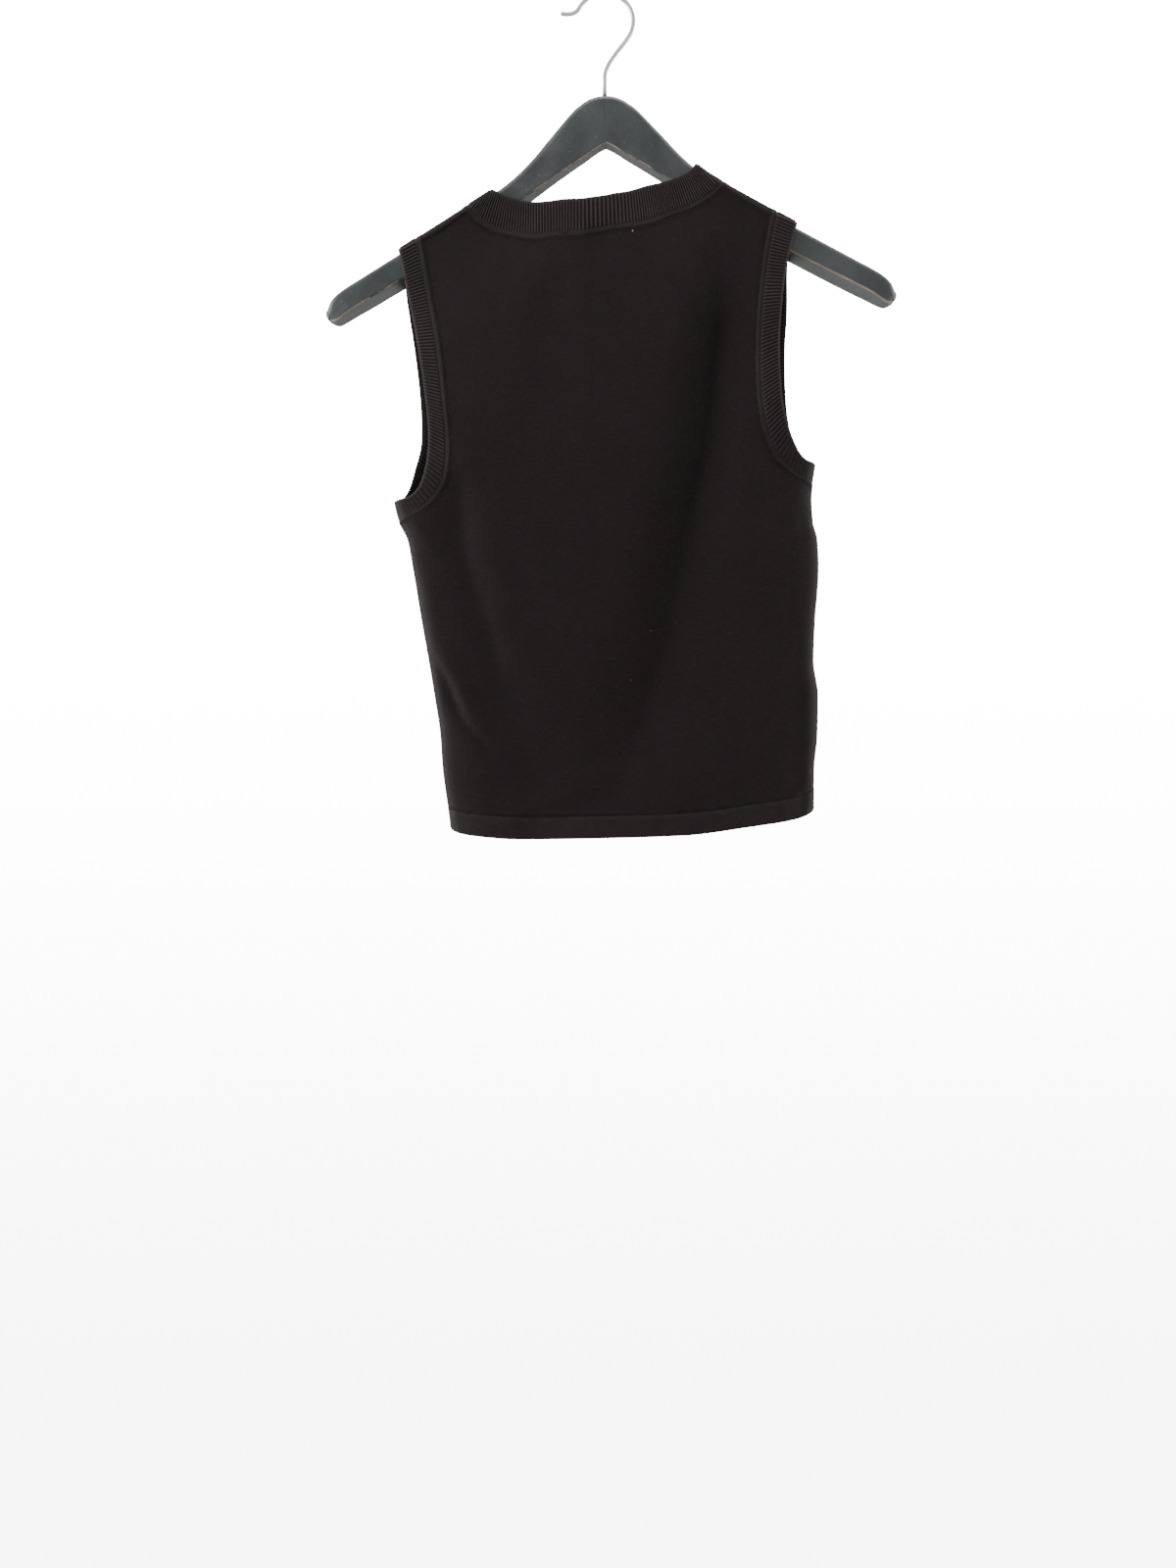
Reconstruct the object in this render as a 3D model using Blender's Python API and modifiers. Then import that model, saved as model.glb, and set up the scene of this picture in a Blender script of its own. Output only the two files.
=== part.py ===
"""A sleeveless knitted sweater on a wooden wishbone hanger.

Metres, +Z up.  The origin is the top of the hook's inside, where it hangs.
The garment's back faces -Y.  Tables are in millimetres, taken from the origin.
"""
import math

import bpy
from mathutils import Vector
from mathutils.geometry import delaunay_2d_cdt

for old in list(bpy.data.objects):
    bpy.data.objects.remove(old)
parts = bpy.data.collections.new("Sleeveless sweater")
bpy.context.scene.collection.children.link(parts)

MM = 0.001
KNIT = (0.020, 0.017, 0.017)
PAINT = (0.025, 0.026, 0.026)
STEEL = (0.45, 0.46, 0.47)

# Driving sizes, in millimetres
GAP = 0.3                # between two pieces at a seam
SHOULDER_GAP = 0.45      # from the shoulder seam to each panel
SIDE_GAP = 0.36          # from the side seam to each panel
BAND_GAP = 0.55          # from a band to the panels, which meet it in short straight runs
CLOTH = 1.5              # wall of the plain knit
BAND = 2.2               # wall of a doubled rib band under its ribs
HEM_WALL = 2.2           # wall of the doubled hem
HEM_TALL = 17.0          # height of the hem
RIB_PITCH = 2.9          # from one rib to the next
RIB_RISE = 0.55          # height of a rib over the groove beside it
STRIP = 5.0              # plain linked strip between the ribs and the seam
SHOULDER_SEAM = 9.0      # from the ridge of the shoulder down the back
RIDGE_ROUND = 7.5        # height over which the cloth rounds the hanger's top
RIDGE_COVER = 3.0        # from the hanger's top to the middle of the cloth
DEPTH_COVER = 2.3        # from the hanger's face to the middle of the cloth
SIDE_ROUND = 8.0         # radius of the cloth's turn at a side seam
DEPTH_BLEND = 110.0      # drop over which the cloth leaves the hanger's depth
HANGER_ROLL = math.radians(1.9)
HANGER_PIVOT = -90.3     # height of the middle of the hanger, which it is rolled about
TOP_ROUND = 5.5          # height over which the hanger's top is rounded
ARRIS = 1.2              # its lower edges
HOOK_RADIUS = 22.25      # middle of the wire
HOOK_WIRE = 1.75         # radius of the wire
FOOT_GAP = 0.45          # from the hanger's top to the foot of the wire
LEVEL_FROM = 40.0        # run at which rows of the cloth start to turn level
LEVEL_OVER = 200.0       # run over which they do
LEVEL_DROP = 60.0        # how far under the ridge's middle they end
FULLNESS = 0.85          # power of the curve of a panel from edge to edge
FOLD_EDGE = 0.2          # share of the half width over which folds leave the side
HELD_REACH = 200.0       # where the hanger's depth stops growing
RUN_OUT = -640.0         # folds that reach under this run out at the hem

# Steps of the meshes, in millimetres, and numbers of spans
RIDGE_STEPS = (0, 3, 6, 9, 12, 15, 19, 25)   # along a seam from the shoulder seam
CLOSE_STEPS = (0, 4, 9)                      # the same on the back
UNDERARM_STEPS = (11, 7, 3.5, 0)
SIDE_STEPS = (1.8, 4.2, 7, 10, 14, 22)       # in from a side seam
ARM_SPANS = dict(back=11, front=10)
NECK_SPANS = dict(back=17, front=13)
SIDE_SPANS = 18
SHOULDER_SPANS = 4
HEM_SPANS = 18
PATH_SPANS = 8           # in a smooth line, for each row of its table
RIDGE_POINTS = 12        # of a back seam's line that a front seam takes over the ridge
NET = 13.0               # of the cloth's net
SIDE_NET = 3.6           # of the net where it turns at the sides
RIDGE_STEP = 3.2         # of the net where it turns over the ridge
EDGE_CLEAR = 0.42        # least room between the net and a cut, in its own steps
NET_REACH = 520.0        # run by which the net has passed the hem
CHEST = -500.0           # height whose width sets the net's columns
RIB_SHARE = 4            # points of a band's face for each on its inside

# The right half of the hanger, seen from the front: the line of its top, the
# line of its underside, and half its depth, a row for each section.
HANGER = [
    dict(top_x=0, top_z=11, under_x=0, under_z=-27.5, half=7.0),
    dict(top_x=12, top_z=9, under_x=6, under_z=-30.5, half=7.0),
    dict(top_x=27, top_z=-2.5, under_x=15, under_z=-36.5, half=7.3),
    dict(top_x=44, top_z=-21.5, under_x=27, under_z=-44, half=7.8),
    dict(top_x=60, top_z=-39.5, under_x=43, under_z=-54.5, half=8.4),
    dict(top_x=78, top_z=-55.5, under_x=64, under_z=-69, half=9.3),
    dict(top_x=100, top_z=-69.5, under_x=89, under_z=-87.5, half=10.3),
    dict(top_x=145, top_z=-97, under_x=134.5, under_z=-115, half=12.0),
    dict(top_x=190, top_z=-123.5, under_x=180.5, under_z=-140.5, half=13.0),
    dict(top_x=208, top_z=-134, under_x=199, under_z=-150.5, half=13.0),
    dict(top_x=217, top_z=-141.5, under_x=207, under_z=-155, half=12.5),
    dict(top_x=221.5, top_z=-150, under_x=212, under_z=-158, half=11.0),
]
RIDGE_LAST = 9           # the hanger's rows that carry the shoulder line
RIDGE_BEYOND = (262.0, -166.0)

# The garment's outline at its sides.  Above the underarms the lines run on,
# and only the armbands lie near them.
SIDES = [
    dict(z=-660, left=-117.2, right=160.2),
    dict(z=-635, left=-120.7, right=161.7),
    dict(z=-603, left=-125.2, right=162.2),
    dict(z=-575, left=-127.2, right=164.7),
    dict(z=-545, left=-131.7, right=165.2),
    dict(z=-518, left=-136.2, right=161.7),
    dict(z=-490, left=-141.2, right=162.7),
    dict(z=-445, left=-148.7, right=165.7),
    dict(z=-424, left=-152.7, right=164.7),
    dict(z=-411, left=-158.9, right=161.4),
    dict(z=-394, left=-163.2, right=160.2),
    dict(z=-380, left=-166.4, right=160.9),
    dict(z=-365.5, left=-169.4, right=163.2),
    dict(z=-300, left=-179.4, right=178.4),
    dict(z=-200, left=-193.4, right=193.4),
    dict(z=-100, left=-203.4, right=203.4),
]

# Depth of the back and the front from the middle plane, at the garment's
# middle, and at its side edges.
DEPTHS = [
    dict(z=-660, back=27, front=27, edge=7.5),
    dict(z=-560, back=30, front=28, edge=8),
    dict(z=-420, back=29, front=28, edge=8.5),
    dict(z=-300, back=25, front=24, edge=9),
    dict(z=-200, back=19.5, front=19, edge=9.5),
    dict(z=-130, back=15, front=15, edge=10),
]

HEM_LINE = [
    dict(x=-135, z=-645), dict(x=-119, z=-650), dict(x=-104, z=-653.5), dict(x=-64, z=-656.5),
    dict(x=0, z=-655.5), dict(x=60, z=-653.5), dict(x=110, z=-647), dict(x=147, z=-641),
    dict(x=163, z=-635), dict(x=180, z=-630),
]

# Neck seam and free edge of the neckband.  The first and last rows are on
# the ridge of each shoulder.
NECK_SEAM_BACK = [
    dict(x=-110.6), dict(x=-101, z=-180.5), dict(x=-88, z=-189), dict(x=-73, z=-193.8),
    dict(x=-43, z=-195.8), dict(x=-13, z=-194), dict(x=21.5, z=-188.5), dict(x=56, z=-176.5),
    dict(x=86.4, z=-159.5), dict(x=96.9),
]
NECK_EDGE_BACK = [
    dict(x=-89.3), dict(x=-84.5, z=-156.8), dict(x=-73, z=-161.5), dict(x=-40, z=-165.2),
    dict(x=-13, z=-163.7), dict(x=14, z=-159), dict(x=39.6, z=-151.7), dict(x=58.5, z=-144.8),
    dict(x=67.5, z=-138.8), dict(x=71.7),
]
NECK_SEAM_FRONT = [
    dict(x=-110.6), dict(x=-106, z=-196), dict(x=-93, z=-223), dict(x=-70, z=-247),
    dict(x=-38, z=-261), dict(x=-2, z=-264), dict(x=34, z=-256), dict(x=65, z=-235),
    dict(x=86, z=-205), dict(x=95, z=-172), dict(x=96.9),
]
NECK_EDGE_FRONT = [
    dict(x=-89.3), dict(x=-85, z=-181), dict(x=-74, z=-205), dict(x=-55, z=-224.5),
    dict(x=-30, z=-235.5), dict(x=-2, z=-237.5), dict(x=26, z=-230.5), dict(x=50, z=-213),
    dict(x=65, z=-189), dict(x=71, z=-160), dict(x=71.7),
]

# Armhole seams and free edges of the armbands on the back, from the ridge of
# the shoulder to the underarm; out is how much further out the front's lies.
ARM_SEAM_LEFT = [
    dict(x=-142.7, out=0), dict(x=-138.4, z=-208, out=1), dict(x=-134.4, z=-230, out=3),
    dict(x=-125.8, z=-276, out=5), dict(x=-120.5, z=-322, out=6), dict(x=-117.4, z=-357, out=6),
    dict(x=-119.6, z=-380, out=6), dict(x=-125.5, z=-392.5, out=6),
    dict(x=-135, z=-402.5, out=5), dict(x=-147, z=-409, out=3), dict(z=-413, out=0),
]
ARM_EDGE_LEFT = [
    dict(x=-160.2, out=0), dict(x=-156, z=-215, out=1), dict(x=-153, z=-231, out=3),
    dict(x=-144, z=-275.4, out=5), dict(x=-138, z=-314, out=6), dict(x=-135, z=-344, out=7),
    dict(x=-136, z=-366, out=9), dict(x=-141, z=-384, out=8), dict(x=-148, z=-392.5, out=6),
    dict(x=-157, z=-394.8, out=3), dict(z=-394.5, out=0),
]
ARM_SEAM_RIGHT = [
    dict(x=129.7, out=0), dict(x=125.5, z=-185, out=1), dict(x=120.4, z=-214.7, out=3),
    dict(x=116.4, z=-253, out=6), dict(x=115.2, z=-290, out=7), dict(x=116.5, z=-322, out=7),
    dict(x=120.5, z=-345, out=7), dict(x=128, z=-364.5, out=6), dict(x=138, z=-375, out=5),
    dict(x=149, z=-381, out=3), dict(z=-385, out=0),
]
ARM_EDGE_RIGHT = [
    dict(x=149.5, out=0), dict(x=144, z=-197.3, out=1), dict(x=140, z=-214, out=4),
    dict(x=136.2, z=-242, out=8), dict(x=133.7, z=-276, out=9), dict(x=135, z=-313.6, out=9),
    dict(x=139.6, z=-338.4, out=8), dict(x=147, z=-357, out=6), dict(x=153, z=-364, out=4),
    dict(x=158, z=-365.6, out=2), dict(z=-365.5, out=0),
]

# The largest folds, from (x0, z0) to (x1, z1), bowed sideways in the middle,
# with a width on each side of the line.  A negative rise is a trough.
FOLDS = [
    dict(face="back", x0=88, z0=-185, x1=70, z1=-420, bow=7, left=24, right=9, rise=-9),
    dict(face="back", x0=76, z0=-360, x1=28, z1=-600, bow=-4, left=24, right=11, rise=-10),
    dict(face="back", x0=100, z0=-330, x1=62, z1=-560, bow=4, left=9, right=16, rise=3.5),
    dict(face="back", x0=-113, z0=-350, x1=-93, z1=-540, bow=5, left=10, right=9, rise=-6),
    dict(face="back", x0=-102, z0=-330, x1=-80, z1=-530, bow=5, left=8, right=16, rise=4),
    dict(face="back", x0=-134, z0=-505, x1=-96, z1=-580, bow=0, left=8, right=6, rise=-5),
    dict(face="back", x0=-52, z0=-560, x1=-48, z1=-670, bow=0, left=20, right=24, rise=-4),
    dict(face="back", x0=140, z0=-470, x1=148, z1=-660, bow=-3, left=10, right=9, rise=-5),
    dict(face="back", x0=126, z0=-360, x1=125, z1=-460, bow=0, left=8, right=8, rise=3),
    dict(face="back", x0=100, z0=-560, x1=104, z1=-670, bow=0, left=16, right=16, rise=3.5),
    dict(face="front", x0=-70, z0=-230, x1=-46, z1=-560, bow=-6, left=12, right=24, rise=-9),
    dict(face="front", x0=-34, z0=-300, x1=-12, z1=-600, bow=-4, left=12, right=20, rise=3.5),
    dict(face="front", x0=84, z0=-330, x1=60, z1=-670, bow=5, left=20, right=12, rise=-8),
    dict(face="front", x0=118, z0=-380, x1=112, z1=-640, bow=3, left=12, right=12, rise=3),
    dict(face="front", x0=-116, z0=-400, x1=-96, z1=-640, bow=4, left=10, right=12, rise=-5),
    dict(face="front", x0=8, z0=-520, x1=4, z1=-670, bow=0, left=18, right=20, rise=-5),
]
FOLD_FADE = 0.22         # share of a fold's length over which it fades


def ease(value):
    """A smooth step from 0 to 1."""
    value = min(max(value, 0.0), 1.0)
    return value * value * (3 - 2 * value)


class Graph:
    """A smooth line through (key, value) rows, straight beyond its ends."""

    def __init__(self, rows):
        rows = sorted(rows)
        self.keys = [key for key, value in rows]
        self.values = [value for key, value in rows]
        steps = []
        for k in range(len(rows) - 1):
            steps.append((self.values[k + 1] - self.values[k]) / (self.keys[k + 1] - self.keys[k]))
        self.slopes = [steps[0]]
        for k in range(1, len(steps)):
            agree = steps[k - 1] * steps[k] > 0
            mean = 2 * steps[k - 1] * steps[k] / (steps[k - 1] + steps[k]) if agree else 0.0
            self.slopes.append(mean)
        self.slopes.append(steps[-1])

    def at(self, key):
        keys = self.keys
        if key <= keys[0]:
            return self.values[0] + self.slopes[0] * (key - keys[0])
        if key >= keys[-1]:
            return self.values[-1] + self.slopes[-1] * (key - keys[-1])
        k = 0
        while key > keys[k + 1]:
            k += 1
        span = keys[k + 1] - keys[k]
        t = (key - keys[k]) / span
        return ((1 + 2 * t) * (1 - t) ** 2 * self.values[k]
                + t * (1 - t) ** 2 * span * self.slopes[k]
                + t * t * (3 - 2 * t) * self.values[k + 1]
                - t * t * (1 - t) * span * self.slopes[k + 1])


def graph(rows, key, value):
    return Graph([(row[key], row[value]) for row in rows])


def rolled(x, z):
    """Where a point of the upright hanger lies on the rolled one."""
    return (x * math.cos(HANGER_ROLL) - z * math.sin(HANGER_ROLL),
            x * math.sin(HANGER_ROLL) + z * math.cos(HANGER_ROLL) + HANGER_PIVOT)


def shoulder_rows():
    rows = {}
    carried = HANGER[:RIDGE_LAST]
    points = [(row["top_x"], row["top_z"]) for row in carried] + [RIDGE_BEYOND]
    for x, z in points:
        for hand in (-1, 1):
            place, height = rolled(hand * x, z)
            rows[place] = height + RIDGE_COVER
    return list(rows.items())


ridge = Graph(shoulder_rows())
hanger_half = Graph([(row["top_x"], row["half"]) for row in HANGER])
side_left = graph(SIDES, "z", "left")
side_right = graph(SIDES, "z", "right")
depth_back = graph(DEPTHS, "z", "back")
depth_front = graph(DEPTHS, "z", "front")
depth_edge = graph(DEPTHS, "z", "edge")
hem_line = graph(HEM_LINE, "x", "z")
QUARTER = math.pi / 2


def turned_in(run, radius):
    """How far cloth gets sideways after it has run round a turn."""
    if run < QUARTER * radius:
        return radius * (1 - math.cos(run / radius))
    return radius + run - QUARTER * radius


def turned_out(run, radius):
    """The share of its full depth that cloth has after that run."""
    return math.sin(run / radius) if run < QUARTER * radius else 1.0


def run_for_drop(drop):
    """The run along the cloth that ends at this drop under the ridge."""
    if drop < RIDGE_ROUND:
        return RIDGE_ROUND * math.acos(max(-1.0, 1 - drop / RIDGE_ROUND))
    return drop - RIDGE_ROUND + QUARTER * RIDGE_ROUND


def fold_rise(x, z, face):
    total = 0.0
    for fold in FOLDS:
        if fold["face"] != face:
            continue
        dx = fold["x1"] - fold["x0"]
        dz = fold["z1"] - fold["z0"]
        length = math.hypot(dx, dz)
        along = ((x - fold["x0"]) * dx + (z - fold["z0"]) * dz) / length ** 2
        if not 0 < along < 1:
            continue
        across = ((x - fold["x0"]) * -dz + (z - fold["z0"]) * dx) / length
        across -= fold["bow"] * 4 * along * (1 - along)
        width = fold["left"] if across < 0 else fold["right"]
        fade = ease(along / FOLD_FADE)
        if fold["z1"] > RUN_OUT:
            fade *= ease((1 - along) / FOLD_FADE)
        total += fold["rise"] * fade * math.exp(-(across / width) ** 2)
    return total


def depth_at(x, z, face):
    """Depth of the cloth's middle from the middle plane."""
    left = side_left.at(z)
    right = side_right.at(z)
    share = min(abs(2 * (x - left) / (right - left) - 1), 1.0)
    edge = depth_edge.at(z)
    middle = depth_back.at(z) if face == "back" else depth_front.at(z)
    hung = edge + (middle - edge) * math.cos(QUARTER * share) ** FULLNESS
    hung += fold_rise(x, z, face) * ease((1 - share) / FOLD_EDGE)
    held = hanger_half.at(min(abs(x), HELD_REACH)) + DEPTH_COVER
    free = ease((ridge.at(x) - z) / DEPTH_BLEND)
    return held + (hung - held) * free


def on_cloth(across, down):
    """A point of the cloth.

    across runs to the right along the cloth, and down runs from the
    shoulder's ridge, positive down the back and negative down the front.
    """
    face = "back" if down >= 0 else "front"
    z = ridge.at(across) - turned_in(abs(down), RIDGE_ROUND)
    left = side_left.at(z)
    right = side_right.at(z)
    tuck = (QUARTER - 1) * SIDE_ROUND
    run = min(across - left + tuck, right - across + tuck)
    run = max(run, 0.0)
    x = across
    if run < QUARTER * SIDE_ROUND:
        inset = turned_in(run, SIDE_ROUND)
        x = left + inset if across < (left + right) / 2 else right - inset
    y = depth_at(x, z, face) * turned_out(run, SIDE_ROUND) * turned_out(abs(down), RIDGE_ROUND)
    if face == "back":
        y = -y
    return Vector((x, y, z)) * MM


def side_across(z, hand):
    """The cloth's reach at its side seam."""
    tuck = (QUARTER - 1) * SIDE_ROUND
    return side_left.at(z) - tuck if hand < 0 else side_right.at(z) + tuck


def down_for(x, z):
    return run_for_drop(ridge.at(x) - z)


def smooth_path(points):
    """A Catmull-Rom line through points, as a fine polyline."""
    fine = []
    count = len(points)
    for k in range(count - 1):
        before = points[max(k - 1, 0)]
        a = points[k]
        b = points[k + 1]
        after = points[min(k + 2, count - 1)]
        for step in range(PATH_SPANS):
            t = step / PATH_SPANS
            place = []
            for o, p, q, r in zip(before, a, b, after):
                square = 2 * o - 5 * p + 4 * q - r
                cube = 3 * p - o - 3 * q + r
                place.append(p + 0.5 * ((q - o) * t + square * t * t + cube * t ** 3))
            fine.append(tuple(place))
    fine.append(points[-1])
    return fine


def lengths(path):
    total = [0.0]
    for a, b in zip(path[:-1], path[1:]):
        total.append(total[-1] + math.hypot(b[0] - a[0], b[1] - a[1]))
    return total


def resample(path, shares):
    """Points at the given shares of a polyline's length."""
    total = lengths(path)
    points = []
    k = 0
    for share in shares:
        goal = share * total[-1]
        while k < len(path) - 2 and total[k + 1] < goal:
            k += 1
        span = total[k + 1] - total[k]
        t = (goal - total[k]) / span
        points.append((path[k][0] + (path[k + 1][0] - path[k][0]) * t,
                       path[k][1] + (path[k + 1][1] - path[k][1]) * t))
    return points


def beside(path, distance):
    """A polyline moved to its left by a distance."""
    moved = []
    for k in range(len(path)):
        a = path[max(k - 1, 0)]
        b = path[min(k + 1, len(path) - 1)]
        dx = b[0] - a[0]
        dy = b[1] - a[1]
        length = math.hypot(dx, dy)
        moved.append((path[k][0] - dy / length * distance, path[k][1] + dx / length * distance))
    return moved


def face_points(rows, face, hand=0):
    """A table's rows as (across, down) points on one face of the cloth."""
    sign = 1 if face == "back" else -1
    points = []
    for row in rows:
        x = row.get("x")
        if x is None:
            x = side_across(row["z"], hand)
        elif face == "front" and hand:
            x += hand * row["out"]
        down = 0.0 if "z" not in row else down_for(x, row["z"])
        points.append((x, sign * down))
    return points


def stations(total, starts, spans, ends):
    """Shares of a length: close steps at the start, even spans, close steps at the end."""
    first = starts[-1]
    last = total - ends[0]
    places = list(starts[:-1])
    places += [first + (last - first) * k / spans for k in range(spans)]
    places += [total - end for end in ends]
    return [place / total for place in places]


def cut_at(path, down):
    """The polyline from where it first crosses this run from the ridge."""
    for k in range(len(path) - 1):
        a, b = path[k], path[k + 1]
        if (a[1] - down) * (b[1] - down) <= 0 and a[1] != b[1]:
            t = (down - a[1]) / (b[1] - a[1])
            return [(a[0] + (b[0] - a[0]) * t, down)] + path[k + 1:]
    return path


def arm_side(rows, hand, face):
    """The armhole seam of one panel, from the shoulder seam to the underarm."""
    back = smooth_path(face_points(rows, "back", hand))
    if face == "back":
        path = cut_at(back, SHOULDER_SEAM + SHOULDER_GAP)
        starts = CLOSE_STEPS
    else:
        front = smooth_path(face_points(rows, "front", hand))
        over = back[:RIDGE_POINTS][::-1] + front[1:]
        path = cut_at(over, SHOULDER_SEAM - SHOULDER_GAP)
        starts = RIDGE_STEPS
    path = resample(path, stations(lengths(path)[-1], starts, ARM_SPANS[face], UNDERARM_STEPS))
    across, down = path[-1]
    path[-1] = (across - hand * SIDE_GAP, down)
    return path


def side_seam(face, hand, start, rise):
    """The side seam of one panel, under its underarm point."""
    sign = 1 if face == "back" else -1
    top = ridge.at(start[0]) - turned_in(abs(start[1]), RIDGE_ROUND)
    end = hem_row(face, rise, (0.0, 1.0))[0 if hand < 0 else 1]
    bottom = ridge.at(end[0]) - turned_in(abs(end[1]), RIDGE_ROUND)
    path = []
    for k in range(1, SIDE_SPANS):
        z = top + (bottom - top) * k / SIDE_SPANS
        x = side_across(z, hand) - hand * SIDE_GAP
        path.append((x, sign * down_for(x, z)))
    return path + [end]


def neck_side(back_rows, front_rows, face):
    """The neck seam of one panel, from its left shoulder seam to its right."""
    sign = 1 if face == "back" else -1
    start = SHOULDER_SEAM + sign * SHOULDER_GAP
    back = smooth_path(face_points(back_rows, "back"))
    if face == "back":
        path = cut_at(back, start)
    else:
        front = smooth_path(face_points(front_rows, "front"))
        path = cut_at(back[RIDGE_POINTS::-1] + front[1:-1] + back[:-RIDGE_POINTS:-1], start)
    path = cut_at(path[::-1], start)[::-1]
    steps = CLOSE_STEPS if face == "back" else RIDGE_STEPS
    return resample(path, stations(lengths(path)[-1], steps, NECK_SPANS[face], steps[::-1]))


neck_cut = {}
arm_cut = {}
for face in ("back", "front"):
    neck_cut[face] = neck_side(NECK_SEAM_BACK, NECK_SEAM_FRONT, face)
    for hand, rows in ((-1, ARM_SEAM_LEFT), (1, ARM_SEAM_RIGHT)):
        arm_cut[face, hand] = arm_side(rows, hand, face)


def hem_row(face, rise, shares):
    """A row of the cloth at some height over the bottom edge."""
    sign = 1 if face == "back" else -1
    middle = hem_line.at(0) + rise
    left = side_across(hem_line.at(side_left.at(middle)) + rise, -1) + SIDE_GAP
    right = side_across(hem_line.at(side_right.at(middle)) + rise, 1) - SIDE_GAP
    points = []
    for share in shares:
        x = left + (right - left) * share
        points.append((x, sign * down_for(x, hem_line.at(x) + rise)))
    return points


def split_at_ridge(path):
    """A loop's polyline in two, where it crosses the ridge."""
    for k in range(len(path) - 1):
        a, b = path[k], path[k + 1]
        if a[1] * b[1] <= 0 and a[1] != b[1]:
            t = a[1] / (a[1] - b[1])
            cross = (a[0] + (b[0] - a[0]) * t, 0.0)
            return path[:k + 1] + [cross], [cross] + path[k + 1:]
    return path, []


def neck_halves():
    """The neckband's seam, a gap inside the panels' own: the back, then the front."""
    back = beside(neck_cut["back"], -BAND_GAP)
    front = beside(neck_cut["front"], BAND_GAP)
    left_start, rest = split_at_ridge(front)
    middle, right_end = split_at_ridge(rest[1:])
    over = left_start[::-1] + back[1:-1] + right_end[::-1]
    return over, ([left_start[-1]] + middle)[::-1]


def arm_halves(hand):
    """An armband's seam, a gap outside the panels': up the back, down the front."""
    back = beside(arm_cut["back", hand], -hand * BAND_GAP)
    front = beside(arm_cut["front", hand], hand * BAND_GAP)
    start, rest = split_at_ridge(front)
    return back[::-1][:-1] + start[1:], rest


def edge_halves(rows, hand):
    return (smooth_path(face_points(rows, "back", hand)[::-1]),
            smooth_path(face_points(rows, "front", hand)))


def new_object(name, verts, faces, colour, roughness=0.9):
    mesh = bpy.data.meshes.new(name)
    mesh.from_pydata([tuple(v) for v in verts], [], faces)
    mesh.update()
    finish(mesh, name, colour, roughness)
    mesh.shade_smooth()
    thing = bpy.data.objects.new(name, mesh)
    parts.objects.link(thing)
    return thing


def finish(data, name, colour, roughness, metallic=0.0):
    material = bpy.data.materials.new(name)
    material.use_nodes = True
    shader = material.node_tree.nodes["Principled BSDF"]
    shader.inputs["Base Color"].default_value = (*colour, 1)
    shader.inputs["Roughness"].default_value = roughness
    shader.inputs["Metallic"].default_value = metallic
    data.materials.append(material)


def thicken(thing, wall):
    solid = thing.modifiers.new("Wall", "SOLIDIFY")
    solid.thickness = wall * MM
    solid.offset = 0.0
    solid.use_even_offset = True


def grid_faces(rows, columns, turned):
    faces = []
    for j in range(rows - 1):
        for i in range(columns - 1):
            a = j * columns + i
            quad = (a, a + columns, a + columns + 1, a + 1)
            faces.append(quad[::-1] if turned else quad)
    return faces


def hem_shares():
    steps = (0,) + SIDE_STEPS
    reach = side_across(RUN_OUT, 1) - side_across(RUN_OUT, -1)
    return stations(reach, steps, HEM_SPANS, steps[::-1])


def cut_outline(face):
    """A panel's whole cut edge in the flat cloth, as a closed polyline."""
    neck = neck_cut[face]
    rise = HEM_TALL + GAP
    sides = {}
    for hand in (-1, 1):
        arm = arm_cut[face, hand]
        sides[hand] = arm + side_seam(face, hand, arm[-1], rise)
    shares = [k / SHOULDER_SPANS for k in range(SHOULDER_SPANS)]
    outline = resample([sides[-1][0], neck[0]], shares) + neck[:-1]
    outline += resample([neck[-1], sides[1][0]], shares) + sides[1][:-1]
    outline += hem_row(face, rise, hem_shares())[::-1][:-1]
    return outline + sides[-1][:0:-1]


def inside(outline, point):
    x, y = point
    within = False
    for a, b in zip(outline, outline[1:] + outline[:1]):
        if (a[1] > y) != (b[1] > y) and x < a[0] + (y - a[1]) * (b[0] - a[0]) / (b[1] - a[1]):
            within = not within
    return within


def edge_distance(outline, point, stretch):
    """Distance to the outline, in steps of the net."""
    best = 1e9
    for a, b in zip(outline, outline[1:] + outline[:1]):
        dx, dy = (b[0] - a[0]) / stretch[0], (b[1] - a[1]) / stretch[1]
        px, py = (point[0] - a[0]) / stretch[0], (point[1] - a[1]) / stretch[1]
        length = dx * dx + dy * dy
        t = min(max((px * dx + py * dy) / length, 0.0), 1.0) if length else 0.0
        best = min(best, math.hypot(px - dx * t, py - dy * t))
    return best


def levelled(across, run):
    """How far a row that follows the shoulders has turned level by this run."""
    return (ridge.at(across) - ridge.at(0) + LEVEL_DROP) * ease((run - LEVEL_FROM) / LEVEL_OVER)


def net_rows(face):
    """Runs down from the ridge, and the step at each, close where the cloth turns."""
    rows = []
    run = SHOULDER_SEAM if face == "front" else -SHOULDER_SEAM
    while abs(run) < NET_REACH:
        over = abs(run) < RIDGE_ROUND * QUARTER + 2
        step = RIDGE_STEP if over else NET
        run = run - step if face == "front" else run + step
        rows.append((run, step))
    return rows


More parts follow.
